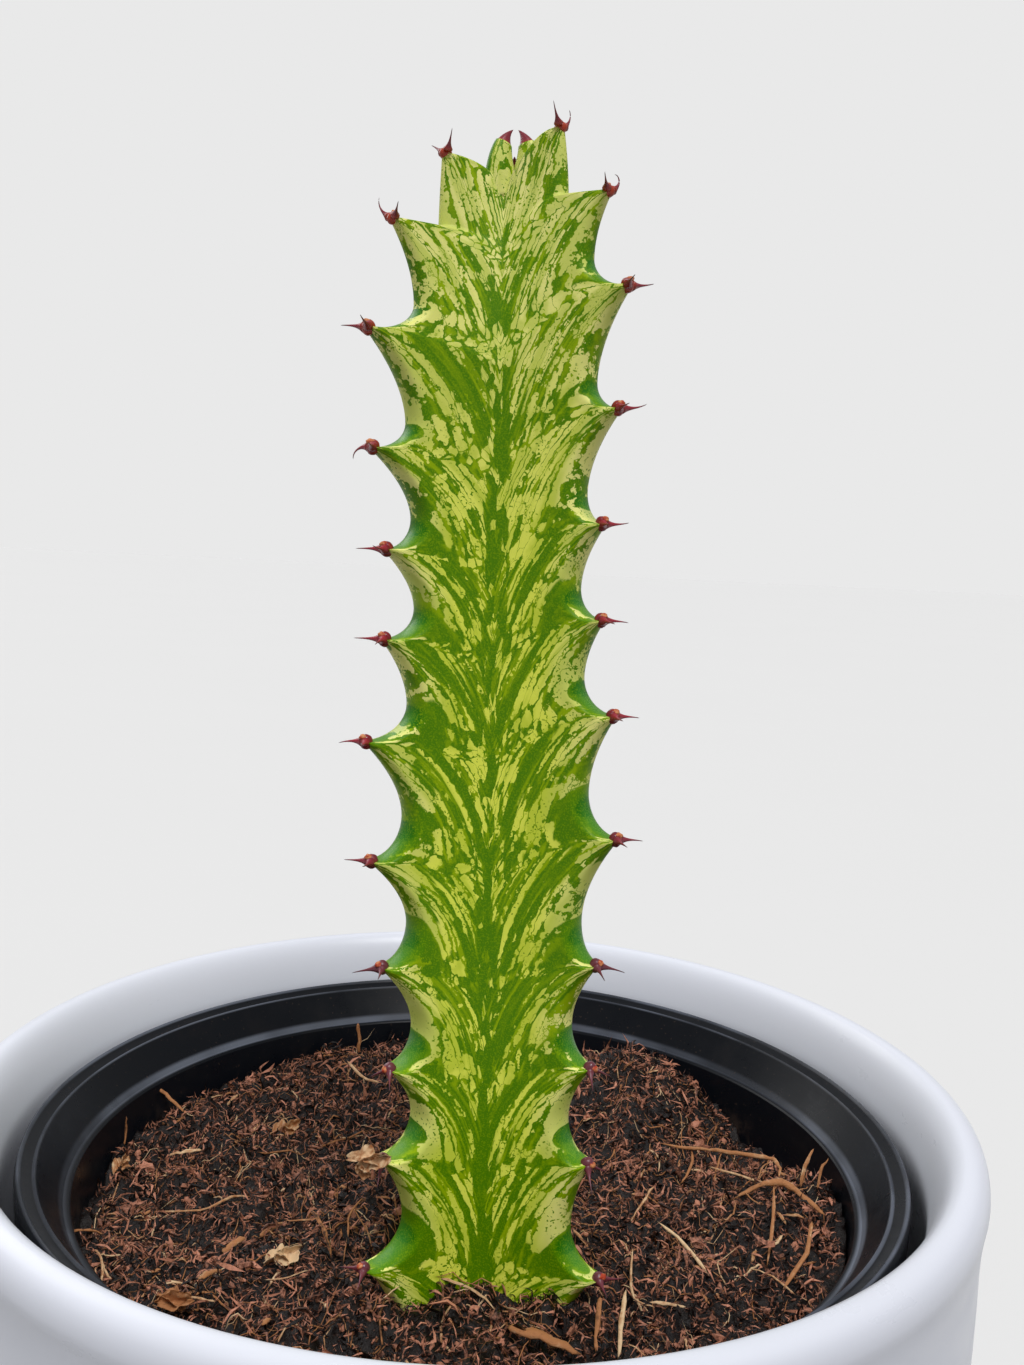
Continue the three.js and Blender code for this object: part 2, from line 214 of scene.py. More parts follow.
# The soil: level, mounds and hollows as x, y, height and spread, in millimetres
SOIL_LEVEL = 119.5
SOIL_FLOOR = 7.1
SOIL_MOUNDS = (
    (3, -28, 2.6, 16),
    (34, 43, 8.5, 12),
    (-24, 52, 2.4, 17),
    (60, -8, 4.5, 11),
    (55, 27, -6.5, 10),
    (-58, -14, -2.4, 16),
)
SOIL_GRID = 250
SOIL_GAP = 0.2
SOIL_FOOT_GAP = 2.6
SOIL_TONE = 0.16

# Loose coir in the order that it is strewn: how finely a crumb is made, or 0 for a shred,
# its usual and its largest size, and how far it may stand up out of the soil
STREWN = {
    "crumbs": (1, 0.45, 0.9, 0.3),
    "shreds": (0, 0.95, 2.5, 1.1),
    "splinters": (0, 0.6, 1.3, 1.3),
    "lumps": (2, 0.7, 1.3, 0.4),
}
CRUMB_KINDS = 9
SHRED_KINDS = 14
CHIPS_RADIUS = 63

# Straws, chips and roots that stand out: tone from dark to pale, half width, thickness
# against width, and places as x, y and height over the soil, all in millimetres
LITTER = (
    (
        0.85,
        0.4,
        0.6,
        ((-12, -37, 1.2), (-6, -35, 1.6), (-1, -35.5, 1.3), (3, -38, 0.9), (5.5, -40, 0.4)),
    ),
    (0.8, 0.75, 0.4, ((-56, 9, 0.8), (-53, 9, 1.0), (-50, 10, 0.8))),
    (0.72, 0.32, 0.8, ((-54, -9, 0.5), (-46, -10, 1), (-42, -6, 1.2), (-40, -4, 0.8), (-36, -7, 0.3))),
    (0.55, 0.55, 0.5, ((-65, -24, 3.5), (-63, -20, 2.6), (-60, -18, 0.8))),
    (0.78, 0.3, 0.8, ((-60, -24, 0.6), (-58, -27, 1.4), (-56, -33, 1), (-56, -36, 0.3))),
    (0.6, 1.1, 0.5, ((-39.5, -22.5, 0.6), (-38, -20.5, 1.0), (-36.5, -18.5, 0.8))),
    (0.62, 0.7, 0.6, ((-34, -19, 0.7), (-32.5, -16, 1.0), (-31, -13, 0.7))),
    (0.66, 0.26, 0.8, ((-31, -12, 0.5), (-28, -14, 0.8), (-24, -13, 0.5))),
    (0.6, 0.9, 0.5, ((-41, -34, 0.6), (-39.5, -32, 1.0), (-38, -30, 0.7))),
    (0.85, 0.15, 1.0, ((-31, -32, 0.7), (-28, -33, 1.1), (-24, -31, 0.5))),
    (0.4, 0.5, 0.5, ((-26, -20, 3.6), (-25, -20, 4.8), (-22.5, -25, 3.4), (-21, -28, 0.4))),
    (0.58, 0.22, 1.0, ((-17, -18, 6), (-19, -20, 4.4), (-19, -22, 2), (-19, -29, 0.3))),
    (0.58, 0.6, 0.7, ((-64, 28, 5), (-60, 26, 2.6), (-56, 23, 0.3))),
    (0.45, 0.3, 0.8, ((-65, 12, 5.6), (-65, 12, 3), (-65, 11, 0.2))),
    (0.85, 0.28, 0.8, ((-44, -39, 0.8), (-40, -39.5, 1.2), (-37, -39, 0.9))),
    (0.62, 0.6, 0.5, ((-29, -45, 0.6), (-28.5, -44, 0.9), (-28, -43, 0.7))),
    (
        0.62,
        0.6,
        0.8,
        (
            (37, 14, 3.4),
            (42, 12, 4),
            (47, 9, 4.2),
            (52, 8, 4.2),
            (57, 8, 4.2),
            (58, 5, 2.4),
            (57, 0, 0.4),
        ),
    ),
    (0.5, 0.4, 0.8, ((43, 12, 4), (42.5, 9, 2), (40, 5, 0))),
    (0.5, 0.25, 0.8, ((48, 9, 4), (47, 7, 2), (46, 4, 0))),
    (0.57, 1.0, 0.7, ((48, -7, 1.2), (52, -5, 1.6), (56, -5, 1.6), (59, -8, 1.4), (62, -14, 1.2))),
    (0.6, 0.4, 0.8, ((55, -5, 1.4), (53, -14, 1), (50, -24, 0.3))),
    (0.82, 0.35, 0.8, ((45, 6, 2.4), (51, 3, 2), (54, -2, 0.8))),
    (0.66, 0.45, 0.8, ((60, -4, 0.2), (61, -2, 3.6), (63, 0, 6.6))),
    (0.6, 0.35, 0.8, ((63, -4, 0.2), (64, -2, 3.4), (65.5, -1, 5.6))),
    (0.72, 0.35, 0.8, ((34, -2, 2.4), (32, -5, 1.8), (29, -10, 0.5))),
    (0.97, 0.42, 0.9, ((33, -14, 2.4), (37, -20, 1.6), (40, -28, 0.6))),
    (0.56, 0.65, 0.4, ((58, -20, 4), (56, -25, 2.4), (51, -31, 0.4))),
    (0.78, 0.25, 0.8, ((47, -24, 0.8), (50, -28, 1.2), (53, -32, 0.5))),
    (0.82, 0.24, 1.0, ((28, -23, 1.4), (27, -29, 1.2), (27, -35, 1), (30, -37, 0.6))),
    (0.85, 0.42, 0.7, ((29, -36, 0.9), (32, -36.5, 1.2), (35, -36, 0.9))),
    (0.5, 0.6, 0.3, ((21, -41, 4), (20.5, -44, 2.4), (20, -48, 0.2))),
    (0.92, 0.5, 0.5, ((25, -40, 5), (24, -45, 2.8), (23, -50, 0.3))),
    (0.56, 1.4, 0.5, ((7, -46, 0.9), (12, -47.5, 1.4), (18, -49, 0.8))),
    (0.55, 0.6, 0.7, ((-25, 52, 0.2), (-25, 52.5, 4), (-25.5, 53, 7.2))),
    (0.82, 0.5, 0.7, ((-27, 46, 1.2), (-23, 41, 1.6), (-19, 37, 1.2))),
)

# Dry leaf scraps on the soil: x, y, height over it, length, breadth, turn in degrees, tone
SCRAPS = (
    (-36, 19, 1.2, 5.4, 2.8, 30, 0.62),
    (-64, 4, 1.6, 3.6, 2.6, 80, 0.6),
    (-29, -27, 1.2, 4.8, 3.2, 20, 0.92),
    (-43, -40, 0.8, 6.4, 3.0, -15, 0.5),
)

# The withered leaf that still hangs on the left rib's second tooth
DRY_LEAF_TOOTH = 1

# How fine the skin is: columns on one side of a rib, the share of them on its rounded edge,
# and rows for one tooth, for the buried foot and over the growing tip
SIDE_COLUMNS = 28
EDGE_SHARE = 0.25
TOOTH_ROWS = 30
FOOT_ROWS = 10
TIP_ROWS = 6

# The lights: the way towards each, and how wide it looks in degrees
KEY_LIGHT = ((0.12, -0.52, 1.0), 24)
FILL_LIGHT = ((-0.8, 0.8, 0.8), 40)

# The air's light on the plant: ways that point lower than the first height are the weakest,
# and those above the second the strongest, each against the air light
AIR_HEIGHTS = (-0.6, 0.4)
AIR_STRENGTHS = (0.4, 1.1)


def lerp(start, end, share):
    """The value a share of the way from start to end."""
    return start + (end - start) * share


def tint(red, green, blue):
    """A screen colour, 0 to 255, as the linear values that a shader takes."""
    linear = []
    for channel in (red, green, blue):
        value = channel / 255
        linear.append(value / 12.92 if value <= 0.04045 else ((value + 0.055) / 1.055) ** 2.4)
    return (*linear, 1.0)


def colour_property(name, description, *screen):
    return FloatVectorProperty(
        name=name,
        description=description,
        subtype="COLOR",
        size=4,
        min=0.0,
        max=1.0,
        default=tint(*screen),
    )


def length_property(name, description, default):
    return FloatProperty(name=name, description=description, default=default, unit="LENGTH")


def strength_property(name, description, default):
    return FloatProperty(name=name, description=description, default=default, min=0.0)


def count_property(name, description, default):
    return IntProperty(name=name, description=description, default=default, min=0)


class PotSettings(bpy.types.PropertyGroup):
    """Sizes and finishes of the two pots."""

    glaze: colour_property("Glaze", "Colour of the white pot's satin glaze", 225, 228, 239)
    plastic: colour_property("Plastic", "Colour of the nursery pot's plastic", 11, 14, 20)
    # Colour of the highlight lines painted along the nursery pot's rim edges and step ring
    dust: colour_property("Dust", "Colour of the soil dust on the nursery pot", 92, 74, 62)
    rim_highlight: colour_property("Highlight", "Colour of the nursery pot's rubbed edges", 122, 128, 142)
    rim_height: length_property(
        "Rim height", "Height of the white pot's rim above the ground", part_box(OUTER_POT)[1].z
    )
    lip_radius: length_property(
        "Lip radius", "Radius of the white pot where its lip is widest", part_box(OUTER_POT)[1].x
    )
    nursery_rim: length_property(
        "Nursery rim height",
        "Height of the nursery pot's rim above the ground",
        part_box(NURSERY_POT)[1].z,
    )
    skirt_radius: length_property(
        "Skirt radius",
        "Radius of the skirt that hangs from the nursery pot's rim",
        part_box(NURSERY_POT)[1].x,
    )
    spin_steps: IntProperty(
        name="Spin steps",
        description="Steps that each pot is turned in",
        default=180,
        min=24,
    )


class StemSettings(bpy.types.PropertyGroup):
    """Colours and relief of the stem's skin."""

    green: colour_property("Green", "Main green of the skin", 82, 134, 0)
    deep_green: colour_property("Deep green", "Green round the notches", 44, 112, 0)
    lime: colour_property("Lime", "Yellow-green between green and cream", 166, 194, 4)
    cream: colour_property("Cream", "Cream of the streaks", 238, 246, 92)
    pale_cream: colour_property("Pale cream", "Cream of the edges and the tip", 246, 242, 156)
    # Partly the waxy green of the tooth tops, partly a painted highlight of the sheen on their crests
    ridge_green_and_highlight: colour_property("Ridge green", "Waxy green on top of the teeth", 74, 146, 62)
    pink: colour_property("Pink", "Blush of the growing tip", 240, 206, 190)
    swell: length_property(
        "Swell", "How far each tooth's base swells out of the faces", 0.04 * MM
    )
    cream_share: FloatProperty(
        name="Cream share",
        description="More than 0 widens the cream streaks, less narrows them",
        default=0.0,
        min=-1.0,
        max=1.0,
    )


class SpineSettings(bpy.types.PropertyGroup):
    """Colours of the shields, the spines and the leaf scars."""

    maroon: colour_property("Maroon", "Colour of the shields", 128, 26, 42)
    crimson: colour_property("Crimson", "Colour of the spines", 160, 36, 54)
    rust: colour_property("Rust", "Colour of young horn near the growing tip", 172, 52, 14)
    aged: colour_property("Aged", "Colour of the oldest horn, near the soil", 98, 48, 58)
    dark: colour_property("Dark", "Colour of the spines' points", 48, 12, 24)
    scar: colour_property("Scar", "Colour of the leaf scars", 206, 134, 84)
    length: length_property("Length", "Length of the longest spines", SPINE_LENGTH * MM)
    seed: count_property("Seed", "Picks how each spine bends", 4)


class SoilSettings(bpy.types.PropertyGroup):
    """Colours of the soil and how much lies on it."""

    damp: colour_property("Damp", "Colour of damp coir", 14, 5, 4)
    dry: colour_property("Dry", "Colour of drier crumbs", 196, 132, 106)
    rust: colour_property("Rust", "Colour of brown fibres", 168, 112, 70)
    straw: colour_property("Straw", "Colour of pale straws", 222, 190, 150)
    relief: length_property(
        "Relief", "How far the crumbly surface stands up and down", 1.9 * MM
    )
    crumbs: count_property("Crumbs", "How many crumbs lie on it", 4500)
    shreds: count_property("Shreds", "How many short shreds lie on it", 16000)
    splinters: count_property("Splinters", "How many splinters lie on it", 12000)
    lumps: count_property("Lumps", "How many bigger lumps lie on it", 260)
    fibres: count_property("Fibres", "How many fibres lie on it", 1300)
    chips: count_property("Chips", "How many short chips lie on it", 260)
    seed: count_property("Seed", "Picks how the soil is strewn", 11)


class StageSettings(bpy.types.PropertyGroup):
    """The floor, the air and the lights."""

    backdrop: colour_property("Backdrop", "Colour of the air behind the plant", 233, 233, 233)
    floor: colour_property("Floor", "Colour of the floor", 220, 220, 220)
    floor_size: length_property("Floor size", "Half the side of the floor", 12.0)
    air_light: strength_property(
        "Air light", "How much of the backdrop's light falls on the plant", 0.5
    )
    key_strength: strength_property(
        "Key strength", "Strength of the big soft light in front and above", 2.0
    )
    fill_strength: strength_property(
        "Fill strength", "Strength of the soft light from behind, on the left", 0.8
    )


class Graph:
    """A material and its nodes. Any input takes a constant or another node's socket."""

    def __init__(self, name, finish):
        self.material = bpy.data.materials.new(name)
        self.material.use_nodes = True
        self.nodes = self.material.node_tree.nodes
        self.links = self.material.node_tree.links
        self.shader = self.nodes["Principled BSDF"]
        self.feed(self.shader, finish)

    def feed(self, node, inputs):
        for key, value in inputs.items():
            if isinstance(value, bpy.types.NodeSocket):
                self.links.new(value, node.inputs[key])
            else:
                node.inputs[key].default_value = value

    def finish(self, **sockets):
        """Wires the shader: Base_Color=... stands for its socket Base Color."""
        self.feed(self.shader, {key.replace("_", " "): value for key, value in sockets.items()})
        return self.material

    def place(self):
        return self.nodes.new("ShaderNodeTexCoord").outputs["Object"]

    def attribute(self, name, output="Fac"):
        node = self.nodes.new("ShaderNodeAttribute")
        node.attribute_name = name
        return node.outputs[output]

    def split(self, vector):
        node = self.nodes.new("ShaderNodeSeparateXYZ")
        self.feed(node, {0: vector})
        return tuple(node.outputs)

    def join(self, x, y, z):
        node = self.nodes.new("ShaderNodeCombineXYZ")
        self.feed(node, {0: x, 1: y, 2: z})
        return node.outputs[0]

    def maths(self, operation, first, second=0.0, third=0.0):
        node = self.nodes.new("ShaderNodeMath")
        node.operation = operation
        self.feed(node, {0: first, 1: second, 2: third})
        return node.outputs[0]

    def plus(self, first, second):
        return self.maths("ADD", first, second)

    def less(self, first, second):
        return self.maths("SUBTRACT", first, second)

    def times(self, first, second):
        return self.maths("MULTIPLY", first, second)

    def times_plus(self, first, second, third):
        return self.maths("MULTIPLY_ADD", first, second, third)

    def scaled(self, vector, x, y, z):
        node = self.nodes.new("ShaderNodeVectorMath")
        node.operation = "MULTIPLY"
        self.feed(node, {0: vector, 1: (x, y, z)})
        return node.outputs[0]

    def shifted(self, vector, push, amount):
        """The vector moved by a noise colour about its middle."""
        node = self.nodes.new("ShaderNodeVectorMath")
        node.operation = "MULTIPLY_ADD"
        centred = self.nodes.new("ShaderNodeVectorMath")
        centred.operation = "SUBTRACT"
        self.feed(centred, {0: push, 1: (0.5, 0.5, 0.5)})
        self.feed(node, {0: centred.outputs[0], 1: (amount,) * 3, 2: vector})
        return node.outputs[0]

    def speckle(self, vector, scale, detail=2.0, roughness=0.5, output=0):
        node = self.nodes.new("ShaderNodeTexNoise")
        self.feed(node, {"Vector": vector, "Scale": scale, "Detail": detail, "Roughness": roughness})
        return node.outputs[output]

    def cells(self, vector, scale, feature="F1", output=0):
        node = self.nodes.new("ShaderNodeTexVoronoi")
        node.feature = feature
        self.feed(node, {"Vector": vector, "Scale": scale})
        return node.outputs[output]

    def step(self, value, low, high, to_low=0.0, to_high=1.0):
        """A smooth step of the value between low and high."""
        node = self.nodes.new("ShaderNodeMapRange")
        node.interpolation_type = "SMOOTHSTEP"
        self.feed(node, {0: value, 1: low, 2: high, 3: to_low, 4: to_high})
        return node.outputs[0]

    def mix(self, share, first, second):
        node = self.nodes.new("ShaderNodeMix")
        node.data_type = "RGBA"
        self.feed(node, {0: share, 6: first, 7: second})
        return node.outputs[2]

    def bump(self, height, depth, strength=1.0, under=None):
        node = self.nodes.new("ShaderNodeBump")
        self.feed(node, {"Height": height, "Distance": depth, "Strength": strength})
        if under is not None:
            self.feed(node, {"Normal": under})
        return node.outputs[0]


def glaze_material(pots):
    """Satin white glaze: soft waves, a fine orange peel and faint scuffs."""
    graph = Graph("satin white glaze", {"Base Color": pots.glaze, "IOR": 1.5})
    place = graph.place()
    scuffs = graph.speckle(graph.scaled(place, 1.0, 1.0, 3.0), 60.0, 5.0, 0.65)
    peel = graph.bump(graph.speckle(place, 900.0, 2.0), 0.02 * MM, 0.35)
    waves = graph.bump(graph.speckle(place, 26.0, 1.0), 0.5 * MM, 0.25, peel)
    return graph.finish(Roughness=graph.step(scuffs, 0.3, 0.75, 0.27, 0.4), Normal=waves)


def plastic_material(pots):
    """Moulded black plastic: fine scratches, painted highlight lines along the rim's edges and the
    step ring, and dust down by the soil.
    """
    graph = Graph("moulded black plastic", {"IOR": 1.45, "Specular IOR Level": 0.17})
    place = graph.place()
    x, y, height = graph.split(place)
    radius = graph.maths("SQRT", graph.times_plus(x, x, graph.times(y, y)))
    # Painted highlight: pale lines along the rim's beads and the step ring, in patches, only above the
    # ledge
    rim_highlight = 0.0
    for edge, breadth in PAINTED_HIGHLIGHT_EDGES:
        aside = graph.maths("ABSOLUTE", graph.less(radius, edge * MM))
        rim_highlight = graph.plus(rim_highlight, graph.step(aside, 0.3 * breadth * MM, breadth * MM, 1.0, 0.0))
    highlit = graph.step(graph.speckle(place, 34.0, 3.0), 0.35, 0.65, 0.12, 0.62)
    above = graph.step(height, *(level * MM for level in PAINTED_HIGHLIGHT_HEIGHTS))
    rim_highlight = graph.times(rim_highlight, graph.times(highlit, above))
    patches = graph.speckle(place, 140.0, 5.0, 0.7)
    dusty = graph.step(height, *(level * MM for level in DUST_HEIGHTS), 1.0, 0.04)
    dirt = graph.times(graph.step(patches, 0.5, 0.72), dusty)
    specks = graph.step(graph.speckle(place, 1500.0, 1.0), 0.7, 0.76)
    dust = graph.times_plus(specks, 0.22, graph.times(dirt, 0.5))
    # The plastic with its painted highlight lines
    colour = graph.mix(rim_highlight, pots.plastic, pots.rim_highlight)
    scratches = graph.speckle(graph.scaled(place, 1.0, 1.0, 14.0), 240.0, 3.0)
    gloss = graph.step(patches, 0.3, 0.7, 0.26, 0.38)
    return graph.finish(
        Base_Color=graph.mix(dust, colour, pots.dust),
        Roughness=graph.times_plus(dust, 0.4, gloss),
        Normal=graph.bump(scratches, 0.03 * MM, 0.35),
    )


def skin_material(stem):
    """The stem's skin: green, with lime under it and cream streaks that follow the flow of
    each tooth. The flow attribute holds the way across the streaks, counted in teeth, the
    way along them in millimetres, and the share of the way from a face's middle to the rib's
    edge. The zones attribute holds where cream gathers, how near the deep green of a notch
    is, and how near the waxy top of a tooth, whose green is partly a painted highlight."""
    graph = Graph(
        "variegated skin",
        {
            "IOR": 1.45,
            "Specular IOR Level": 0.15,
            "Subsurface Weight": 0.06,
            "Subsurface Radius": (0.9, 1.0, 0.25),
            "Subsurface Scale": 0.6 * MM,
        },
    )
    place = graph.place()
    across, along, share = graph.split(graph.attribute("flow", "Vector"))
    cream_bias, notch, ridge = graph.split(graph.attribute("zones", "Vector"))
    x, y, height = graph.split(place)

    face = graph.times_plus(x, 60.0, graph.times(y, 43.0))
    flow = graph.join(across, along, face)
    ragged = graph.speckle(place, 900.0, 2.0, 0.6, "Color")
    streaks = graph.speckle(graph.scaled(flow, *STREAK_GRAIN), 1.0, 2.0, 0.5)
    fleck_place = graph.shifted(graph.scaled(flow, *FLECK_GRAIN), ragged, 0.65)
    fleck_tone = graph.split(graph.cells(fleck_place, 1.0, "F1", "Color"))[0]
    fleck_gap = graph.cells(fleck_place, 1.0, "DISTANCE_TO_EDGE")
    thread_place = graph.shifted(graph.scaled(flow, *THREAD_GRAIN), ragged, 0.7)
    threads = graph.speckle(thread_place, 1.0, 1.0)

    # Near a face's middle the flecks stand upright in the central green line
    upright = graph.shifted(graph.scaled(place, *UPRIGHT_GRAIN), ragged, 0.4)
    upright_tone = graph.split(graph.cells(upright, 1.0, "F1", "Color"))[1]
    middle = graph.step(share, 0.05, 0.22, 1.0, 0.0)
    outer_tone = graph.times(fleck_tone, graph.less(1.0, middle))
    tone = graph.plus(graph.times(upright_tone, middle), outer_tone)

    # Cream lies where the patterns and the zones add up, but for gaps and pinpricks of green
    value = cream_bias
    for pattern, weight in ((streaks, 1.1), (tone, 1.1), (threads, 0.2)):
        value = graph.times_plus(pattern, weight, graph.less(value, 0.5 * weight))
    value = graph.plus(value, stem.cream_share)
    gap_width = graph.step(graph.speckle(place, 330.0, 1.0), 0.38, 0.66, 0.13, 0.0)
    open_gap = graph.step(graph.less(fleck_gap, gap_width), 0.0, 0.03)
    patches = graph.times(graph.step(value, -0.03, 0.03), open_gap)
    pins = graph.step(graph.speckle(place, 2800.0, 0.0), 0.66, 0.7)
    pins = graph.times(pins, graph.step(graph.speckle(place, 260.0, 2.0), 0.4, 0.6))
    patches = graph.times(patches, graph.less(1.0, pins))

    # The greens, with lime between them and the cream, and the cream, paler on the edges
    deep = graph.step(graph.times_plus(graph.less(streaks, 0.5), 1.2, notch), 0.25, 0.5)
    greens = graph.mix(deep, stem.green, stem.deep_green)
    limes = graph.times(graph.step(value, -0.5, 0.12), graph.step(threads, 0.4, 0.7, 0.0, 0.75))
    under = graph.mix(limes, greens, stem.lime)
    grain = graph.speckle(place, 4200.0, 1.0)
    under = graph.mix(graph.step(grain, 0.46, 0.7, 0.0, 0.3), under, stem.lime)
    top_pale = graph.step(height, *(level * MM for level in PALE_HEIGHTS), 0.0, 0.85)
    pale = graph.maths("MAXIMUM", graph.step(share, 0.5, 0.95, 0.0, 0.75), top_pale)
    creams = graph.mix(pale, stem.cream, stem.pale_cream)
    creams = graph.mix(graph.step(streaks, 0.62, 0.42, 0.0, 0.45), creams, stem.lime)
    colour = graph.mix(patches, under, creams)
    # The ridge along each tooth's top: partly its own waxy green, partly a painted highlight of the
    # crest's sheen
    colour = graph.mix(graph.times(ridge, 0.45), colour, stem.ridge_green_and_highlight)
    colour = graph.mix(graph.attribute("tip"), colour, stem.pink)

    dimples = graph.bump(grain, 0.03 * MM, 0.5)
    lumps = graph.bump(graph.speckle(place, 420.0, 2.0), 0.12 * MM, 0.35, dimples)
    return graph.finish(
        Base_Color=colour,
        Roughness=graph.times_plus(ridge, -0.14, graph.step(grain, 0.3, 0.7, 0.36, 0.46)),
        Normal=lumps,
    )


def horn_material(spines):
    """Glossy horn: maroon at the foot, nearly black at the point, rusty when young and dull
    when old. The horn attribute holds the way to the point, youth from -1 for the oldest to
    1 for the youngest, and the leaf scars' share."""
    graph = Graph("maroon horn", {"IOR": 1.5, "Specular IOR Level": 0.5})
    place = graph.place()
    along, youth, scar = graph.split(graph.attribute("horn", "Vector"))
    patches = graph.speckle(place, 1300.0, 2.0)
    foot = graph.mix(youth, spines.maroon, spines.rust)
    foot = graph.mix(graph.step(patches, 0.56, 0.68, 0.0, 0.5), foot, spines.rust)
    needle = graph.mix(youth, spines.crimson, spines.maroon)
    age = graph.times(youth, -0.85)
    foot = graph.mix(age, foot, spines.aged)
    needle = graph.mix(age, needle, spines.aged)
    colour = graph.mix(graph.step(along, 0.02, 0.3), foot, needle)
    colour = graph.mix(graph.step(along, 0.55, 1.1), colour, spines.dark)
    pale = graph.mix(graph.step(patches, 0.4, 0.62), spines.scar, spines.rust)
    colour = graph.mix(scar, colour, pale)
    relief = graph.bump(graph.speckle(place, 2600.0, 2.0), 0.06 * MM, 0.4)
    return graph.finish(
        Base_Color=colour,
        Roughness=graph.times_plus(scar, 0.3, graph.step(patches, 0.3, 0.7, 0.26, 0.4)),
        Normal=relief,
    )


def soil_material(soil):
    """Damp coir: dark, with drier crumbs. The tone attribute sets each bit apart."""
    graph = Graph("coir soil", {"Roughness": 0.42, "Specular IOR Level": 0.3})
    place = graph.place()
    tone = graph.attribute("tone")
    grain = graph.speckle(place, 1500.0, 3.0, 0.65)
    patches = graph.speckle(place, 160.0, 3.0)
    value = graph.times_plus(grain, 1.2, graph.times(patches, 0.5))
    value = graph.plus(value, graph.less(tone, 1.0))
    colour = graph.mix(graph.step(value, 0.12, 0.82), soil.damp, soil.dry)
    bits = graph.step(graph.speckle(place, 900.0, 1.0), 0.7, 0.74)
    colour = graph.mix(graph.times(bits, 0.4), colour, soil.rust)
    fine = graph.bump(graph.speckle(place, 3200.0, 3.0, 0.7), 0.25 * MM, 0.8)
    return graph.finish(Base_Color=colour, Normal=fine)


def fibre_material(soil):
    """Coir fibres and straws, from dark and rusty to pale by the tone attribute."""
    graph = Graph("coir fibre", {"Roughness": 0.7, "Specular IOR Level": 0.3})
    place = graph.place()
    tone = graph.attribute("tone")
    stains = graph.speckle(place, 700.0, 4.0, 0.65)
    value = graph.times_plus(stains, 0.9, graph.less(tone, 0.45))
    dark = graph.mix(graph.step(value, 0.1, 0.45), soil.damp, soil.rust)
    colour = graph.mix(graph.step(value, 0.5, 0.95), dark, soil.straw)
    relief = graph.bump(graph.speckle(place, 2600.0, 3.0, 0.65), 0.2 * MM, 0.8)
    return graph.finish(Base_Color=colour, Normal=relief)


def linked(name, shape, material=None):
    """Links a finished bmesh to the scene, as an object at the origin."""
    mesh = bpy.data.meshes.new(name)
    shape.to_mesh(mesh)
    shape.free()
    if material:
        mesh.materials.append(material)
    thing = bpy.data.objects.new(name, mesh)
    bpy.context.scene.collection.objects.link(thing)
    return thing


def new_piece(name, shape, material, node, smooth=True):
    """Links a finished bmesh as a piece that rides on the root and stands for a node."""
    piece = linked(name, shape, material)
    faces = piece.data.polygons
    faces.foreach_set("use_smooth", [smooth] * len(faces))
    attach(piece, "root")
    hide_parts(node)
    return piece


def bezier(start, start_handle, end_handle, end, steps=10):
    """Points of one curve of an outline, without its last one."""
    knots = [Vector((*point, 0.0)) for point in (start, start_handle, end_handle, end)]
    return [(point.x, point.y) for point in interpolate_bezier(*knots, steps)[:-1]]


def quadratic(start, handle, end, steps=8):
    """Points of a rounded corner of an outline, without its last one."""
    first = [lerp(a, b, 2 / 3) for a, b in zip(start, handle)]
    second = [lerp(a, b, 2 / 3) for a, b in zip(end, handle)]
    return bezier(start, first, second, end, steps)


def turned(outline, steps):
    """Spins an outline of radius and height, in millimetres, from the axis and back to it."""
    shape = bmesh.new()
    points = [shape.verts.new((radius * MM, 0.0, height * MM)) for radius, height in outline]
    edges = [shape.edges.new(pair) for pair in zip(points, points[1:])]
    bmesh.ops.spin(
        shape,
        geom=points + edges,
        axis=(0.0, 0.0, 1.0),
        cent=(0.0, 0.0, 0.0),
        angle=2 * math.pi,
        steps=steps,
        use_merge=True,
    )
    bmesh.ops.remove_doubles(shape, verts=shape.verts, dist=0.001 * MM)
    bmesh.ops.recalc_face_normals(shape, faces=shape.faces)
    return shape


def outer_outline(pots):
    """The white pot's section: a rolled lip over a slight waist, on a flat foot."""
    top, lip_radius = pots.rim_height / MM, pots.lip_radius / MM
    heel = (OUTER_HEEL_RADIUS, OUTER_HEEL_HEIGHT)
    waist = (OUTER_WAIST_RADIUS, top - OUTER_WAIST_DEPTH)
    lip = (lip_radius, top - OUTER_LIP_DEPTH)
    rim = (OUTER_RIM_RADIUS, top)
    mouth = (OUTER_MOUTH_RADIUS, top - OUTER_MOUTH_DEPTH)
    inner_foot = (OUTER_FOOT_RADIUS, OUTER_FLOOR + 3)
    outline = [(0.0, 0.0)]
    outline += quadratic((OUTER_FOOT_RADIUS, 0.0), (heel[0] - 3, 0.5), heel)
    outline += bezier(heel, (heel[0] + 6, 34), (lip_radius, 88), waist, 24)
    outline += quadratic(waist, (waist[0], waist[1] + 7), lip)
    outline += quadratic(lip, (lip_radius, top), rim, 14)
    outline += quadratic(rim, (rim[0] - 3.2, top - 0.6), mouth, 14)
    outline += bezier(mouth, (mouth[0], 100), (heel[0], 42), inner_foot, 24)
    return outline + [inner_foot, (inner_foot[0] - 5, OUTER_FLOOR), (0.0, OUTER_FLOOR)]


def nursery_inside(height):
    """The inner radius of the nursery pot's wall at a height, millimetres."""
    share = (height - NURSERY_FLOOR) / (NURSERY_LEDGE_HEIGHT - NURSERY_FLOOR)
    return lerp(NURSERY_FOOT_RADIUS - NURSERY_WALL, NURSERY_LEDGE_RADIUS, share)


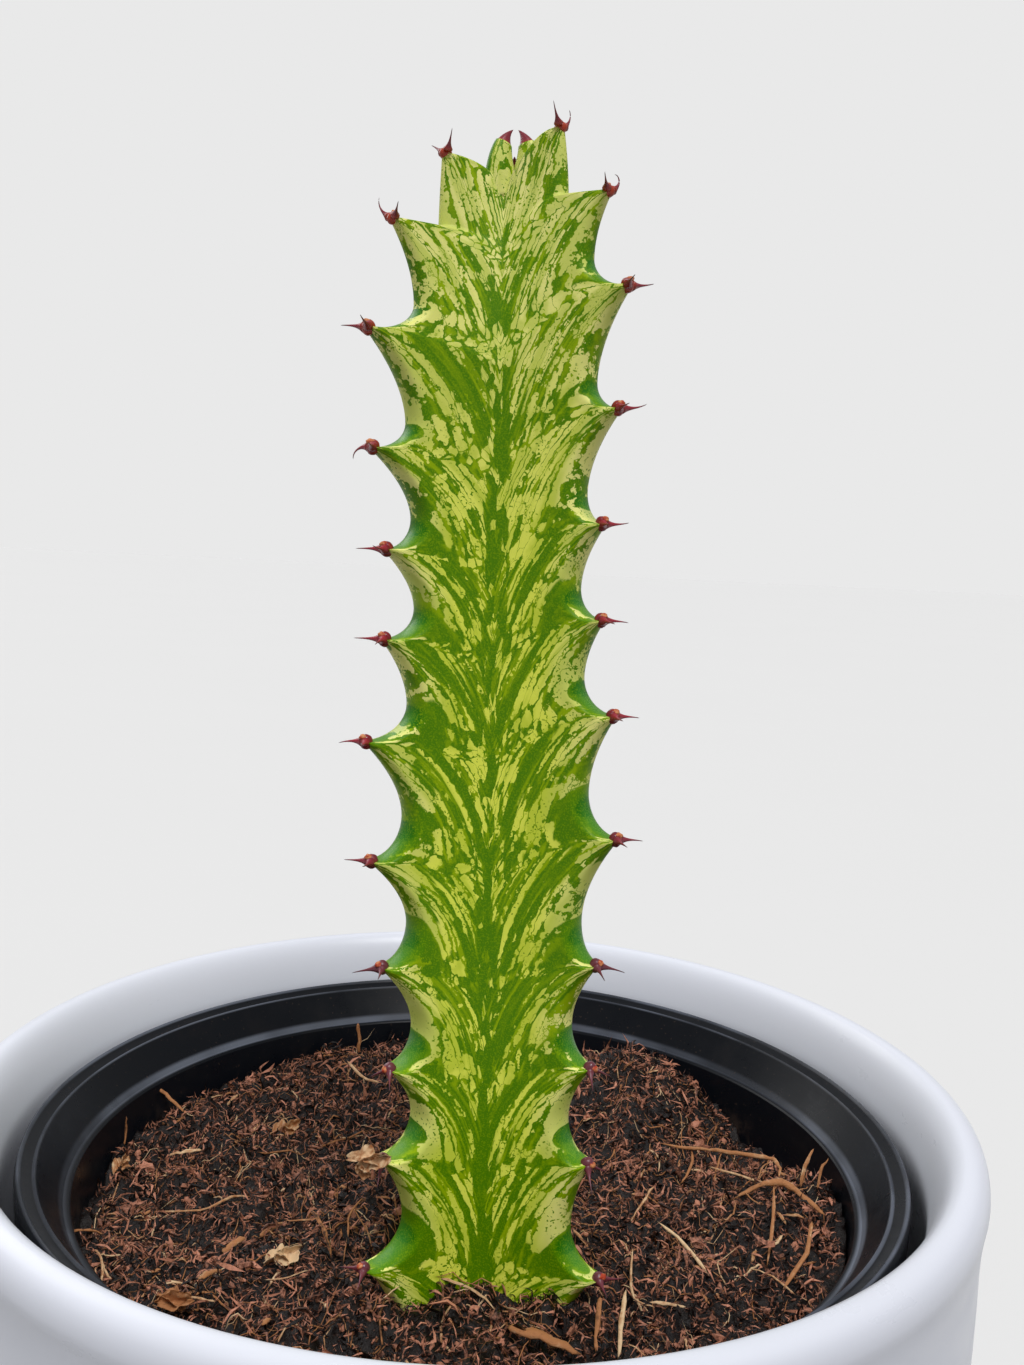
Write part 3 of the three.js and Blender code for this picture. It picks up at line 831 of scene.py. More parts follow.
def nursery_outline(pots):
    """The nursery pot's section: a tapered wall, a step ring and a rim with a skirt."""
    rim, skirt = pots.nursery_rim / MM, pots.skirt_radius / MM
    base, floor, foot = NURSERY_BASE, NURSERY_FLOOR, NURSERY_FOOT_RADIUS
    ledge, ledge_top = NURSERY_LEDGE_RADIUS, NURSERY_LEDGE_HEIGHT
    skirt_foot, under = rim - NURSERY_SKIRT_DEPTH, ledge_top - NURSERY_WALL
    outside = (
        (0, base),
        (foot - 3, base),
        (foot, base + 3),
        (ledge + NURSERY_WALL, under),
        (ledge + 3.6, under + 0.6),
        (ledge + 4.9, rim - 4.4),
        (skirt - 1.9, rim - 2.2),
        (skirt - 1.7, skirt_foot),
        (skirt - 0.4, skirt_foot),
    )
    rim_and_inside = (
        (skirt, rim - 1.6),
        (skirt - 0.3, rim - 0.3),
        (skirt - 0.7, rim),
        (skirt - 1.1, rim - 0.5),
        (ledge + 6, rim - 1.2),
        (ledge + 5.6, rim - 0.8),
        (ledge + 5.2, rim - 1.3),
        (ledge + 3.5, rim - 4.4),
        (ledge + 1.5, ledge_top + 0.9),
        (ledge + 1.2, ledge_top + 0.4),
        (ledge + 0.3, ledge_top + 0.3),
        (ledge, ledge_top),
        (nursery_inside(floor + 2), floor + 2),
        (nursery_inside(floor) - 2, floor),
        (0, floor),
    )
    return outside + rim_and_inside


def drill_drain_holes(context, piece):
    """Cuts the ring of drain holes through the nursery pot's floor."""
    shape = bmesh.new()
    for number in range(DRAIN_HOLES):
        angle = 2 * math.pi * number / DRAIN_HOLES
        x, y = DRAIN_RING_RADIUS * math.cos(angle), DRAIN_RING_RADIUS * math.sin(angle)
        bmesh.ops.create_cone(
            shape,
            cap_ends=True,
            segments=32,
            radius1=DRAIN_HOLE_RADIUS * MM,
            radius2=DRAIN_HOLE_RADIUS * MM,
            depth=DRILL_LENGTH * MM,
            matrix=Matrix.Translation(Vector((x, y, DRILL_HEIGHT)) * MM),
        )
    drill = linked("drill", shape)
    cut = piece.modifiers.new("drain holes", "BOOLEAN")
    cut.operation = "DIFFERENCE"
    cut.solver = "EXACT"
    cut.object = drill
    solid = piece.evaluated_get(context.evaluated_depsgraph_get())
    pierced = bpy.data.meshes.new_from_object(solid)
    piece.modifiers.clear()
    piece.data = pierced
    bpy.data.objects.remove(drill)


def notch_above(rib, tooth):
    """Radius and height of the lowest point of a rib's edge over a tooth."""
    if tooth == TEETH - 1:
        radius, rise = rib["top_notch"]
        return radius, rib["heights"][tooth] + rise
    height = rib["heights"][tooth] + NOTCH_RISE[tooth]
    if tooth == TEETH - 2:
        return YOUNG_NOTCH_RADIUS, height
    reaches = rib["reaches"][tooth] + rib["reaches"][tooth + 1]
    return 0.5 * rib["notch"] * reaches, height


def rib_edge(rib, place):
    """Radius and height of a rib's edge at a place along the stem, counted in teeth: in
    along the top of a tooth to the notch, then out along the lower flank of the next."""
    heights, reaches = rib["heights"], rib["reaches"]
    if place < 0:
        depth = min(-place, 1.0)
        radius = lerp(reaches[0], FOOT_REACH, min(1.0, 2 * depth) ** 0.6)
        return radius, lerp(heights[0], -BURIED, depth)
    tooth = min(int(place), TEETH - 1)
    along = place - tooth
    notch_radius, notch_height = notch_above(rib, tooth)
    if along <= NOTCH_PLACE or tooth == TEETH - 1:
        turn = min(along / NOTCH_PLACE, 1.0) * math.pi / 2
        radius = lerp(reaches[tooth], notch_radius, math.sin(turn))
        return radius, lerp(heights[tooth], notch_height, 1 - math.cos(turn))
    share = (along - NOTCH_PLACE) / (1 - NOTCH_PLACE)
    radius = lerp(notch_radius, reaches[tooth + 1], share**1.8)
    return radius, lerp(notch_height, heights[tooth + 1], share)


def valley(place):
    """Radius and height of the deepest line between two ribs at the same place."""

    def mean(tooth):
        return sum(rib["heights"][tooth] for rib in RIBS) / 3

    def drop(tooth):
        return VALLEY_DROP + max(0, tooth - TEETH + 3)

    if place < 0:
        return VALLEY_RADIUS, lerp(mean(0) - VALLEY_DROP, -BURIED, -place)
    tooth = min(int(place), TEETH - 1)
    above = min(tooth + 1, TEETH - 1)
    height = lerp(mean(tooth) - drop(tooth), mean(above) - drop(above), place - tooth)
    young = max(0.0, place - TEETH + 3) / (2 + NOTCH_PLACE)
    tip = (place - tooth) / NOTCH_PLACE if tooth == above else 0.0
    radius = lerp(VALLEY_RADIUS, TIP_VALLEY_RADIUS, young)
    return radius, lerp(height, APEX_HEIGHT - TIP_VALLEY_RADIUS, tip)


def stem_axis(height):
    """How far to the right the leaning stem's middle is at a height."""
    return STEM_X + STEM_LEAN * height


def growing_tip():
    return Vector((stem_axis(APEX_HEIGHT) + APEX_SHIFT, STEM_Y, SOIL_LINE + APEX_HEIGHT))


def rib_turn(rib):
    """The cosine and sine of the way that a rib points."""
    azimuth = math.radians(rib["azimuth"])
    return math.cos(azimuth), math.sin(azimuth)


def rib_place(rib, out, aside, height):
    """A place beside the stem's axis, given out along a rib, aside of it and above soil."""
    cosine, sine = rib_turn(rib)
    x = stem_axis(height) + out * cosine - aside * sine
    return Vector((x, STEM_Y + out * sine + aside * cosine, SOIL_LINE + height))


def rib_side(rib):
    """The level way across a rib."""
    cosine, sine = rib_turn(rib)
    return Vector((-sine, cosine, 0.0))


def flow_of(place, share, inward):
    """The streaks' course at a point of a face, as the way across them, counted in teeth,
    and the way along them from the tooth's tip in millimetres. They fan out of each tip,
    as a stream does from a source on a bank, and bend down beside the face's middle line.
    Returns too how far the point is from the nearest tooth, from -0.5 to 0.5 of a tooth."""
    tooth = math.floor(place)
    along = place - tooth
    if place < 0:
        even = 2 * place
    elif along <= NOTCH_PLACE:
        even = tooth + 0.5 * along / NOTCH_PLACE
    else:
        even = tooth + 0.5 + 0.5 * (along - NOTCH_PLACE) / (1 - NOTCH_PLACE)
    bent = even + (1 - share) ** 1.6 + 0.12 * math.exp(-share / 0.08)
    source = math.floor(bent + 0.5)
    away = bent - source
    reach = math.pi * max(inward, 0.02) / TOOTH_SPACING
    turn = math.atan2(math.sin(math.pi * away), math.cos(math.pi * away) * math.tanh(reach))
    ring = math.sqrt(math.sinh(min(reach, 8.0)) ** 2 + math.sin(math.pi * away) ** 2)
    along = TOOTH_SPACING / math.pi * math.asinh(ring) * (1 + 0.35 * (1 - share))
    return source + turn / math.pi, along, away


def hump(value, middle, width):
    """A smooth hump, 1 at its middle."""
    return math.exp(-0.5 * ((value - middle) / width) ** 2)


def humps(away, middle, width):
    """Two humps, one tooth apart: away is counted from the nearest tooth, above or below."""
    return hump(away, middle, width) + hump(away, middle - 1, width)


def cream_of(away, inward, share, height, radius):
    """Where cream gathers, from -1 for plain green to 1 for plain cream, and how near the
    point is to the dark green band that runs in from each notch."""
    aside = share * radius
    centre_line = 0.5 * math.exp(-((aside / 1.4) ** 2)) + 0.2 * math.exp(-((aside / 4) ** 2))
    flank = 0.45 * humps(away, 0.7, 0.13) * math.exp(-inward / 7.0)
    band = humps(away, NOTCH_PLACE, 0.09) * (0.34 + 0.1 * math.exp(-inward / 8.0))
    deep = humps(away, NOTCH_PLACE, 0.06) * math.exp(-((inward / 1.1) ** 1.5))
    crest = hump(away, 0.18, 0.1) * math.exp(-inward / 1.6)
    young = 0.34 * min(1.0, max(0.0, (height - 105) / 45))
    young += 0.42 * min(1.0, max(0.0, (height - 148) / 14))
    return 0.22 + flank + young - 0.85 * band - 0.9 * deep - 0.9 * crest - centre_line, deep


def skin_point(rib, mirrored, place, turn, swell):
    """A point of the skin, then its flow, and its zones: the cream's share, and how near it
    is to a notch's deep green and to the waxy ridge on top of a tooth, tinted partly as a painted
    highlight."""
    edge_radius, edge_height = rib_edge(rib, place)
    deep_radius, deep_height = valley(place)
    start = 0.5 * deep_radius
    thick = math.sin(math.pi / 3) * deep_radius
    rounding = min(EDGE_ROUNDING, 0.3 * edge_radius)
    cap_start = edge_radius - rounding
    thin = min(EDGE_HALF_THICKNESS, 0.5 * thick)
    if turn <= 1 - EDGE_SHARE:
        out = lerp(start, cap_start, turn / (1 - EDGE_SHARE))
        narrow = 1.0
    else:
        quarter = (turn - 1 + EDGE_SHARE) / EDGE_SHARE * math.pi / 2
        out = cap_start + rounding * math.sin(quarter)
        narrow = math.cos(quarter)
    share = (out - start) / (edge_radius - start)
    curve = (thick - thin) / math.tan(math.pi / 6)
    half = (thin + (thick - thin) * math.exp(-(out - start) / curve)) * narrow
    height = lerp(deep_height, edge_height, 1 - (1 - share) ** 1.8)
    inward = edge_radius - out
    across, along, away = flow_of(place, share, inward)
    rise = math.cos(2 * math.pi * away) * math.sin(math.pi * min(1.0, share * 1.1)) ** 2
    half += swell * rise * narrow * max(0.0, 1 - max(0.0, place - 9) / 3)
    cream, notch = cream_of(away, inward, share, height, edge_radius)
    # Nearness to the crest on top of a tooth, where the skin takes its waxy green, partly as a painted
    # highlight
    on_top = math.sin(math.pi * min(1.0, (place % 1) / 0.42)) if place > 0 else 0.0
    crest = math.hypot(inward, edge_height - height)
    ridge = on_top * math.exp(-((crest / 0.42) ** 2))
    where = rib_place(rib, out, -half if mirrored else half, height)
    return where, (across, along, share), (cream, notch, ridge)


def skin_rows():
    """The places along the stem where the skin has a row of points."""
    rows = [-1 + (row / FOOT_ROWS) ** 0.7 for row in range(FOOT_ROWS)]
    count = round(TOP_PLACE * TOOTH_ROWS)
    return rows + [TOP_PLACE * row / count for row in range(count + 1)]


def skin_shape():
    """An empty bmesh, and the layers that lead the skin's streaks."""
    shape = bmesh.new()
    layers = shape.verts.layers.float_vector
    return shape, layers.new("flow"), layers.new("zones")


def stem_shape(stem):
    """A grid wrapped round the stem, closed over the growing tip and under the foot."""
    rows = skin_rows()
    columns = 2 * SIDE_COLUMNS * len(RIBS)
    shape, flow, zones = skin_shape()
    tip = shape.verts.layers.float.new("tip")
    apex = growing_tip()
    swell = stem.swell / MM
    total_rows = len(rows) - 1 + TIP_ROWS
    bmesh.ops.create_grid(shape, x_segments=columns, y_segments=total_rows, size=1.0)
    for point in shape.verts:
        column = round((point.co.x + 1) / 2 * columns) % columns
        row = round((point.co.y + 1) / 2 * total_rows)
        rib = RIBS[column // (2 * SIDE_COLUMNS)]
        step = column % (2 * SIDE_COLUMNS)
        turn = 1 - abs(step / SIDE_COLUMNS - 1)
        place = rows[min(row, len(rows) - 1)]
        mirrored = step < SIDE_COLUMNS
        where, point[flow], point[zones] = skin_point(rib, mirrored, place, turn, swell)
        over = max(0, row - len(rows) + 1) / TIP_ROWS
        if over > 0:
            dome = 0.7 * math.sin(math.pi * over)
            where = where.lerp(apex, over) + Vector((0.0, 0.0, dome))
            point[zones][2] *= 1 - over
        point[tip] = hump((where - apex).length, 0.0, 1.7)
        point.co = where * MM
    bmesh.ops.remove_doubles(shape, verts=shape.verts, dist=0.002 * MM)
    bmesh.ops.holes_fill(shape, edges=[edge for edge in shape.edges if edge.is_boundary])
    bmesh.ops.recalc_face_normals(shape, faces=shape.faces)
    return shape


def add_tube(shape, path, widths, sides, across, flat=1.0):
    """Wraps a closed tube round a path, as wide as given at each point; `across` is the way
    that its broad side lies. Returns each new point with its share of the way and turn."""
    rows = len(path) - 1
    grid = bmesh.ops.create_grid(shape, x_segments=sides, y_segments=rows, size=1.0)["verts"]
    hoops = []
    for row, centre in enumerate(path):
        heading = (path[min(row + 1, rows)] - path[max(row - 1, 0)]).normalized()
        side = (across - across.project(heading)).normalized()
        hoops.append((centre, side * widths[row], heading.cross(side) * widths[row] * flat))
    placed = []
    for point in grid:
        turn = (point.co.x + 1) * math.pi
        row = round((point.co.y + 1) / 2 * rows)
        centre, side, up = hoops[row]
        point.co = (centre + side * math.cos(turn) + up * math.sin(turn)) * MM
        placed.append((point, row / rows, turn))
    return placed


def seal(shape):
    """Joins the seams and ends of a bmesh's tubes and turns their faces outwards."""
    bmesh.ops.remove_doubles(shape, verts=shape.verts, dist=0.0004 * MM)
    bmesh.ops.recalc_face_normals(shape, faces=shape.faces)


def young_place(rib, share):
    """A point of a young tooth's middle, which bends in over the growing tip."""
    tall = BACK_YOUNG_HEIGHT if rib is BACK_RIB else YOUNG_HEIGHT
    near = (lerp(1.6, 3.6, share), lerp(-4.6, 0.6 * tall, share))
    far = (lerp(3.6, 0.4, share), lerp(0.6 * tall, tall, share))
    out, up = (lerp(a, b, share) for a, b in zip(near, far))
    cosine, sine = rib_turn(rib)
    return growing_tip() + Vector((out * cosine, out * sine, up))


def young_width(share):
    return YOUNG_RADIUS * (1.2 - share)


def young_teeth_shape():
    """The three young teeth, up to their horns."""
    shape, flow, zones = skin_shape()
    for number, rib in enumerate(RIBS):
        shares = [(HORN_START + 0.12) * step / YOUNG_STEPS for step in range(YOUNG_STEPS + 1)]
        path = [young_place(rib, share) for share in shares]
        widths = [0.0] + [young_width(share) for share in shares[1:-1]] + [0.0]
        for point, share, turn in add_tube(shape, path, widths, 24, rib_side(rib), 1.35):
            # A young tooth's crests take less cream and the ridge's waxy green, with its painted
            # highlight
            crest = abs(math.sin(turn)) ** 14 * min(1.0, 3 * share)
            point[flow] = (number + 0.6 * math.cos(turn), 7 * share, 0.95)
            point[zones] = (0.95 - 2.1 * crest, 0.3 * crest, 0.6 * crest)
    seal(shape)
    return shape


def spine_path(start, heading, length, curl):
    """Points of a spine that bends more and more upwards, by an angle in all."""
    lift = Vector((0.0, 0.0, 1.0))
    lift = (lift - lift.project(heading)).normalized()
    path = [start]
    for step in range(SPINE_STEPS):
        turn = curl * ((step + 1) / SPINE_STEPS) ** 2
        way = heading * math.cos(turn) + lift * math.sin(turn)
        path.append(path[-1] + way * length / SPINE_STEPS)
    return path


def spine_width(share, scale):
    """Half the width of a spine along its way: a stout foot that runs out in a needle."""
    needle = 0.04 + 0.18 * (1 - share)
    return scale * (needle + 0.76 * math.exp(-((share / 0.23) ** 1.3)))


def add_blob(shape, place, size, turned_by, detail, rough):
    """Adds an uneven ball of a size along each of its axes; returns its points."""
    ball = bmesh.ops.create_icosphere(shape, subdivisions=detail, radius=1.0)["verts"]
    for point in ball:
        uneven = 1 + rough * noise.noise(point.co * 1.7 + place)
        stretched = Vector(part * long for part, long in zip(point.co, size)) * uneven
        point.co = (place + turned_by @ stretched) * MM
    return ball


def youth_of(tooth):
    """How young a tooth's horn is, from -1 for the oldest to 1 for the youngest."""
    return min(1.0, max(0.0, (tooth - 7) / 3)) - min(1.0, max(0.0, (5 - tooth) / 2))


def add_spine(shape, horn, path, scale, youth):
    last = len(path) - 1
    widths = [0.0] + [spine_width(row / last, scale) for row in range(1, last)] + [0.0]
    for point, share, _ in add_tube(shape, path, widths, 12, Vector((0.0, 0.0, 1.0))):
        point[horn] = (share, youth, 0.0)


def add_shield(shape, horn, number, tooth, length, chance):
    """Adds the shield at the tip of a rib's tooth, with its leaf scar and two spines."""
    rib = RIBS[number]
    scale = YOUNG_SHIELD_SCALE if tooth > TEETH - 3 else 1.0
    youth = youth_of(tooth)
    young = max(0.0, youth)
    centre = rib_place(rib, rib["reaches"][tooth] - SHIELD_DEPTH, 0.0, rib["heights"][tooth])
    aim = Matrix.Rotation(math.radians(rib["azimuth"]), 3, "Z")
    aim = aim @ Matrix.Rotation(-math.radians(SPINE_LIFT[tooth]), 3, "Y")
    scar = centre + aim @ SCAR_PLACE * scale
    for place, size, rough, scarred in (
        (centre, SHIELD_SIZE * scale, 0.08, 0.0),
        (scar, SCAR_SIZE * scale, 0.3, 1.0),
    ):
        for point in add_blob(shape, place, size, aim, 3, rough):
            point[horn] = (0.0, youth, scarred)
    for side in (-1, 1):
        spread = side * lerp(SPINE_SPREAD, YOUNG_SPINE_SPREAD, young)
        spread = math.radians(spread + chance.gauss(0, SPREAD_STRAY))
        heading = aim @ Vector((math.cos(spread), math.sin(spread), 0.0))
        foot = centre + heading * 0.35 + aim @ Vector((0.0, 0.45 * side * young, 0.0))
        bend = chance.gauss(0, BEND_STRAY)
        curl = math.radians(CURLED_SPINES.get((number, tooth, side), bend))
        long = length * scale * chance.uniform(0.82, 1.0)
        add_spine(shape, horn, spine_path(foot, heading, long, curl), scale, youth)


def add_young_horn(shape, horn, rib):
    """Adds the horn that a young tooth ends in."""
    shares = [step / HORN_STEPS for step in range(HORN_STEPS + 1)]
    path = [young_place(rib, lerp(HORN_START, 1.0, share)) for share in shares]
    start = 1.05 * young_width(HORN_START)
    widths = [start * (1 - share) ** 1.3 + 0.04 for share in shares]
    widths[0] = widths[-1] = 0.0
    for point, share, _ in add_tube(shape, path, widths, 14, rib_side(rib), 1.25):
        point[horn] = (0.8 * share, 1.0, 0.0)


def spines_shape(spines):
    """A shield with two spines and a leaf scar on every tooth, and the young teeth's horns."""
    shape = bmesh.new()
    horn = shape.verts.layers.float_vector.new("horn")
    chance = random.Random(spines.seed)
    for number, rib in enumerate(RIBS):
        for tooth in range(TEETH):
            add_shield(shape, horn, number, tooth, spines.length / MM, chance)
        add_young_horn(shape, horn, rib)
    seal(shape)
    return shape


def ground(x, y, relief):
    """Height of the soil at a place, with its mounds, low lumps and crumbly relief."""
    height = SOIL_LEVEL + 0.7 * math.sin(0.21 * x + 1) * math.cos(0.25 * y)
    height += 0.45 * math.sin(0.43 * x - 0.31 * y + 2)
    for middle_x, middle_y, tall, spread in SOIL_MOUNDS:
        away = math.hypot(x - middle_x, y - middle_y) / spread
        height += tall * math.exp(-0.5 * away**2)
    clods = noise.fractal(Vector((0.15 * x, 0.15 * y, 4.0)), 0.8, 2.1, 5)
    near = noise.voronoi(Vector((0.36 * x, 0.36 * y, 1.0)))[0][0]
    fine = noise.voronoi(Vector((0.95 * x, 0.95 * y, 5.0)))[0][0]
    return height + relief * (1.1 * clods + 0.9 * (0.35 - near) + 0.5 * (0.35 - fine))


def soil_edge(height):
    """The soil's radius at a height, just clear of the nursery pot's wall."""
    return nursery_inside(height) - SOIL_GAP


def toned_shape():
    """An empty bmesh, and the layer that says how pale each of its points is."""
    shape = bmesh.new()
    return shape, shape.verts.layers.float.new("tone")


def strewn_place(chance, radius):
    """Somewhere on a disc."""
    away = radius * math.sqrt(chance.random())
    angle = chance.uniform(0, 2 * math.pi)
    return away * math.cos(angle), away * math.sin(angle)


def shade_of(chance, spread, most=1.0):
    """How pale a bit is, from 0 for dark."""
    return min(most, max(0.0, chance.gauss(0.5, spread)))


def soil_shape(soil):
    """The soil's crumbly top, closed by its side and bottom inside the nursery pot."""
    shape, tone = toned_shape()
    relief = soil.relief / MM
    radius = soil_edge(SOIL_LEVEL)
    bmesh.ops.create_grid(shape, x_segments=SOIL_GRID, y_segments=SOIL_GRID, size=1.0)
    for point in shape.verts:
        x, y = point.co.x, point.co.y
        reach = max(abs(x), abs(y))
        away = math.hypot(x, y)
        squeeze = radius * reach / away if away > 0 else 0.0
        x, y = x * squeeze, y * squeeze
        point.co = Vector((x, y, ground(x, y, relief))) * MM
        point[tone] = SOIL_TONE
    rim = [edge for edge in shape.edges if edge.is_boundary]
    side = bmesh.ops.extrude_edge_only(shape, edges=rim)["geom"]
    shrink = (nursery_inside(SOIL_FLOOR) - SOIL_FOOT_GAP) / radius
    for point in (part for part in side if isinstance(part, bmesh.types.BMVert)):
        point.co = Vector((point.co.x * shrink, point.co.y * shrink, SOIL_FLOOR * MM))
    bmesh.ops.holes_fill(shape, edges=[edge for edge in shape.edges if edge.is_boundary])
    bmesh.ops.recalc_face_normals(shape, faces=shape.faces)
    return shape


def crumb_kinds(chance, detail):
    """Meshes of a few uneven crumbs, about 1 mm in radius."""
    kinds = []
    for kind in range(CRUMB_KINDS):
        shape = toned_shape()[0]
        size = Vector((1.2, chance.uniform(0.5, 0.9), chance.uniform(0.4, 0.8)))
        place = Vector((kind * 3.0, detail, 0.0))
        add_blob(shape, place, size, Matrix.Identity(3), detail, 0.9)
        bmesh.ops.translate(shape, verts=shape.verts, vec=-place * MM)
        kinds.append(shape)
    return kinds


def shred_kinds(chance):
    """Meshes of a few crooked three-sided shreds, 2 mm long."""
    kinds = []
    for _ in range(SHRED_KINDS):
        shape = toned_shape()[0]
        bend = Vector((0.0, chance.uniform(-0.6, 0.6), chance.uniform(-0.1, 0.6)))
        knee = chance.uniform(-0.4, 0.2)
        path = [
            Vector((-1.0, 0.0, 0.0)),
            Vector((knee, 0.0, 0.0)) + bend,
            Vector((knee + 0.5, 0.0, 0.0)) + 0.7 * bend,
            Vector((1.0, 0.0, 0.0)),
        ]
        thick = chance.uniform(0.08, 0.21)
        widths = (0.0, thick, 0.8 * thick, 0.0)
        add_tube(shape, path, widths, 3, Vector((0.0, 1.0, 0.0)), chance.uniform(0.5, 1.0))
        seal(shape)
        kinds.append(shape)
    return kinds


def strewn_shape(soil, shapes, count, small, large, lift, chance):
    """Loose bits of a few kinds, strewn over the soil and sunk a little into it."""
    kinds = []
    for shape in shapes:
        kinds.append(bpy.data.meshes.new("bit"))
        shape.to_mesh(kinds[-1])
        shape.free()
    whole = toned_shape()[0]
    for _ in range(count):
        x, y = strewn_place(chance, 0.985 * soil_edge(SOIL_LEVEL))
        size = min(large, small * chance.lognormvariate(0.0, 0.4))
        height = ground(x, y, soil.relief / MM) + chance.uniform(0.0, lift) * size
        turn = Matrix.Rotation(chance.uniform(0, 2 * math.pi), 4, "Z")
        turn = turn @ Matrix.Rotation(chance.gauss(0, 0.7), 4, "Y")
        turn = turn @ Matrix.Rotation(chance.uniform(0, 2 * math.pi), 4, "X")
        mesh = chance.choice(kinds).copy()
        where = Matrix.Translation(Vector((x, y, height)) * MM)
        mesh.transform(where @ turn @ Matrix.Scale(size, 4))
        shade = shade_of(chance, 0.45)
        mesh.attributes["tone"].data.foreach_set("value", [shade] * len(mesh.vertices))
        whole.from_mesh(mesh)
        bpy.data.meshes.remove(mesh)
    for mesh in kinds:
        bpy.data.meshes.remove(mesh)
    return whole


def fibres_shape(soil):
    """Thin coir fibres that wander over the soil, some with an end up in the air."""
    shape, tone = toned_shape()
    chance = random.Random(soil.seed)
    relief = soil.relief / MM
    edge = soil_edge(SOIL_LEVEL) - 1.0
    for _ in range(soil.fibres):
        x, y = strewn_place(chance, edge)
        heading = chance.uniform(0, 2 * math.pi)
        bend = chance.gauss(0, 0.16)
        steps = chance.randint(5, 12)
        long = chance.lognormvariate(1.75, 0.5)
        width = min(0.26, chance.lognormvariate(-2.3, 0.4))
        rise = max(0.0, chance.gauss(-0.1, 0.6))
        path = []
        for step in range(steps + 1):
            if math.hypot(x, y) > edge:
                break
            over = rise * long * 0.4 * (step / steps) ** 2
            path.append(Vector((x, y, ground(x, y, relief) + 0.2 + over)))
            heading += bend + chance.gauss(0, 0.14)
            x += long / steps * math.cos(heading)
            y += long / steps * math.sin(heading)
        if len(path) < 4:
            continue
        taper = [width * (1 - 0.6 * (row / len(path)) ** 2) for row in range(len(path))]
        taper[0] = taper[-1] = 0.0
        shade = shade_of(chance, 0.26)
        for point, _, _ in add_tube(shape, path, taper, 4, Vector((0.0, 0.0, 1.0))):
            point[tone] = shade
    seal(shape)
    return shape


def smooth_path(points, steps=4):
    """A rounded course through a few points."""
    path = []
    for number in range(len(points) - 1):
        before, start = points[max(number - 1, 0)], points[number]
        end, after = points[number + 1], points[min(number + 2, len(points) - 1)]
        first, second = start + (end - before) / 6, end - (after - start) / 6
        path += interpolate_bezier(start, first, second, end, steps + 1)[:-1]
    return path + [points[-1]]


def spindle(count, half_width):
    """Widths along a chip or straw: full in its middle, drawn in at its closed ends."""
    widths = [half_width * math.sin(math.pi * row / (count - 1)) ** 0.4 for row in range(count)]
    widths[0] = widths[-1] = 0.0
    return widths


def rootlets(chance, path, half_width):
    """Courses of the thin side roots that drop from a big root to the soil."""
    courses = []
    for _ in range(round(2.5 * half_width + 0.1 * len(path))):
        start = path[chance.randrange(2, len(path) - 2)]
        heading, long = chance.uniform(0, 2 * math.pi), chance.uniform(2.5, 7.0)
        end = start + Vector((math.cos(heading), math.sin(heading), 0.0)) * long
        end.z = ground(end.x, end.y, 0.0) + 0.6
        aside = Vector((math.sin(heading), -math.cos(heading), 0.6)) * chance.uniform(-1.0, 1.0)
        courses.append(smooth_path([start, start.lerp(end, 0.5) + aside, end], 4))
    return courses


def litter_shape(soil):
    """The straws and roots that stand out, and the chips strewn among the crumbs."""
    shape, tone = toned_shape()
    relief = soil.relief / MM
    chance = random.Random(soil.seed + 3)
    # Without a seed, Blender sets the offsets of noise_vector by the clock.
    noise.seed_set(soil.seed)
    bits = []
    for shade, half_width, flat, places in LITTER:
        points = [Vector((x, y, ground(x, y, 0.0) + 0.6 + lift)) for x, y, lift in places]
        path = smooth_path(points)
        bits.append((shade - 0.08, 0.72 * half_width, flat, path, 9))
        if len(places) > 3 and flat > 0.5:
            for course in rootlets(chance, path, half_width):
                bits.append((shade, chance.uniform(0.09, 0.2), 0.9, course, 5))
    for _ in range(soil.chips):
        x, y = strewn_place(chance, CHIPS_RADIUS)
        heading = chance.uniform(0, 2 * math.pi)
        long = chance.uniform(0.6, 2.2)
        step = Vector((math.cos(heading), math.sin(heading), chance.gauss(0, 0.4))) * long
        middle = Vector((x, y, ground(x, y, relief) + 0.4))
        bend = Vector((0.0, 0.0, chance.uniform(0, 0.3) * long))
        points = [middle - step, middle + bend, middle + step]
        half_width = chance.uniform(0.1, 0.42)
        shade = shade_of(chance, 0.2, 0.9)
        bits.append((shade, half_width, chance.uniform(0.2, 0.6), smooth_path(points, 3), 6))
    for shade, half_width, flat, path, sides in bits:
        for number, point in enumerate(path[1:-1]):
            push = noise.noise_vector(point * 0.8 + Vector((number, 0.0, 0.0)))
            path[number + 1] = point + push * (0.4 * half_width + 0.12)
        widths = spindle(len(path), half_width)
        widths = [width * (1 + 0.6 * noise.noise(1.1 * point)) for width, point in zip(widths, path)]
        across = Vector((path[-1].y - path[0].y, path[0].x - path[-1].x, 0.2))
        for point, _, turn in add_tube(shape, path, widths, sides, across, flat):
            point[tone] = shade + 0.1 * math.cos(3 * turn)
    seal(shape)
    return shape


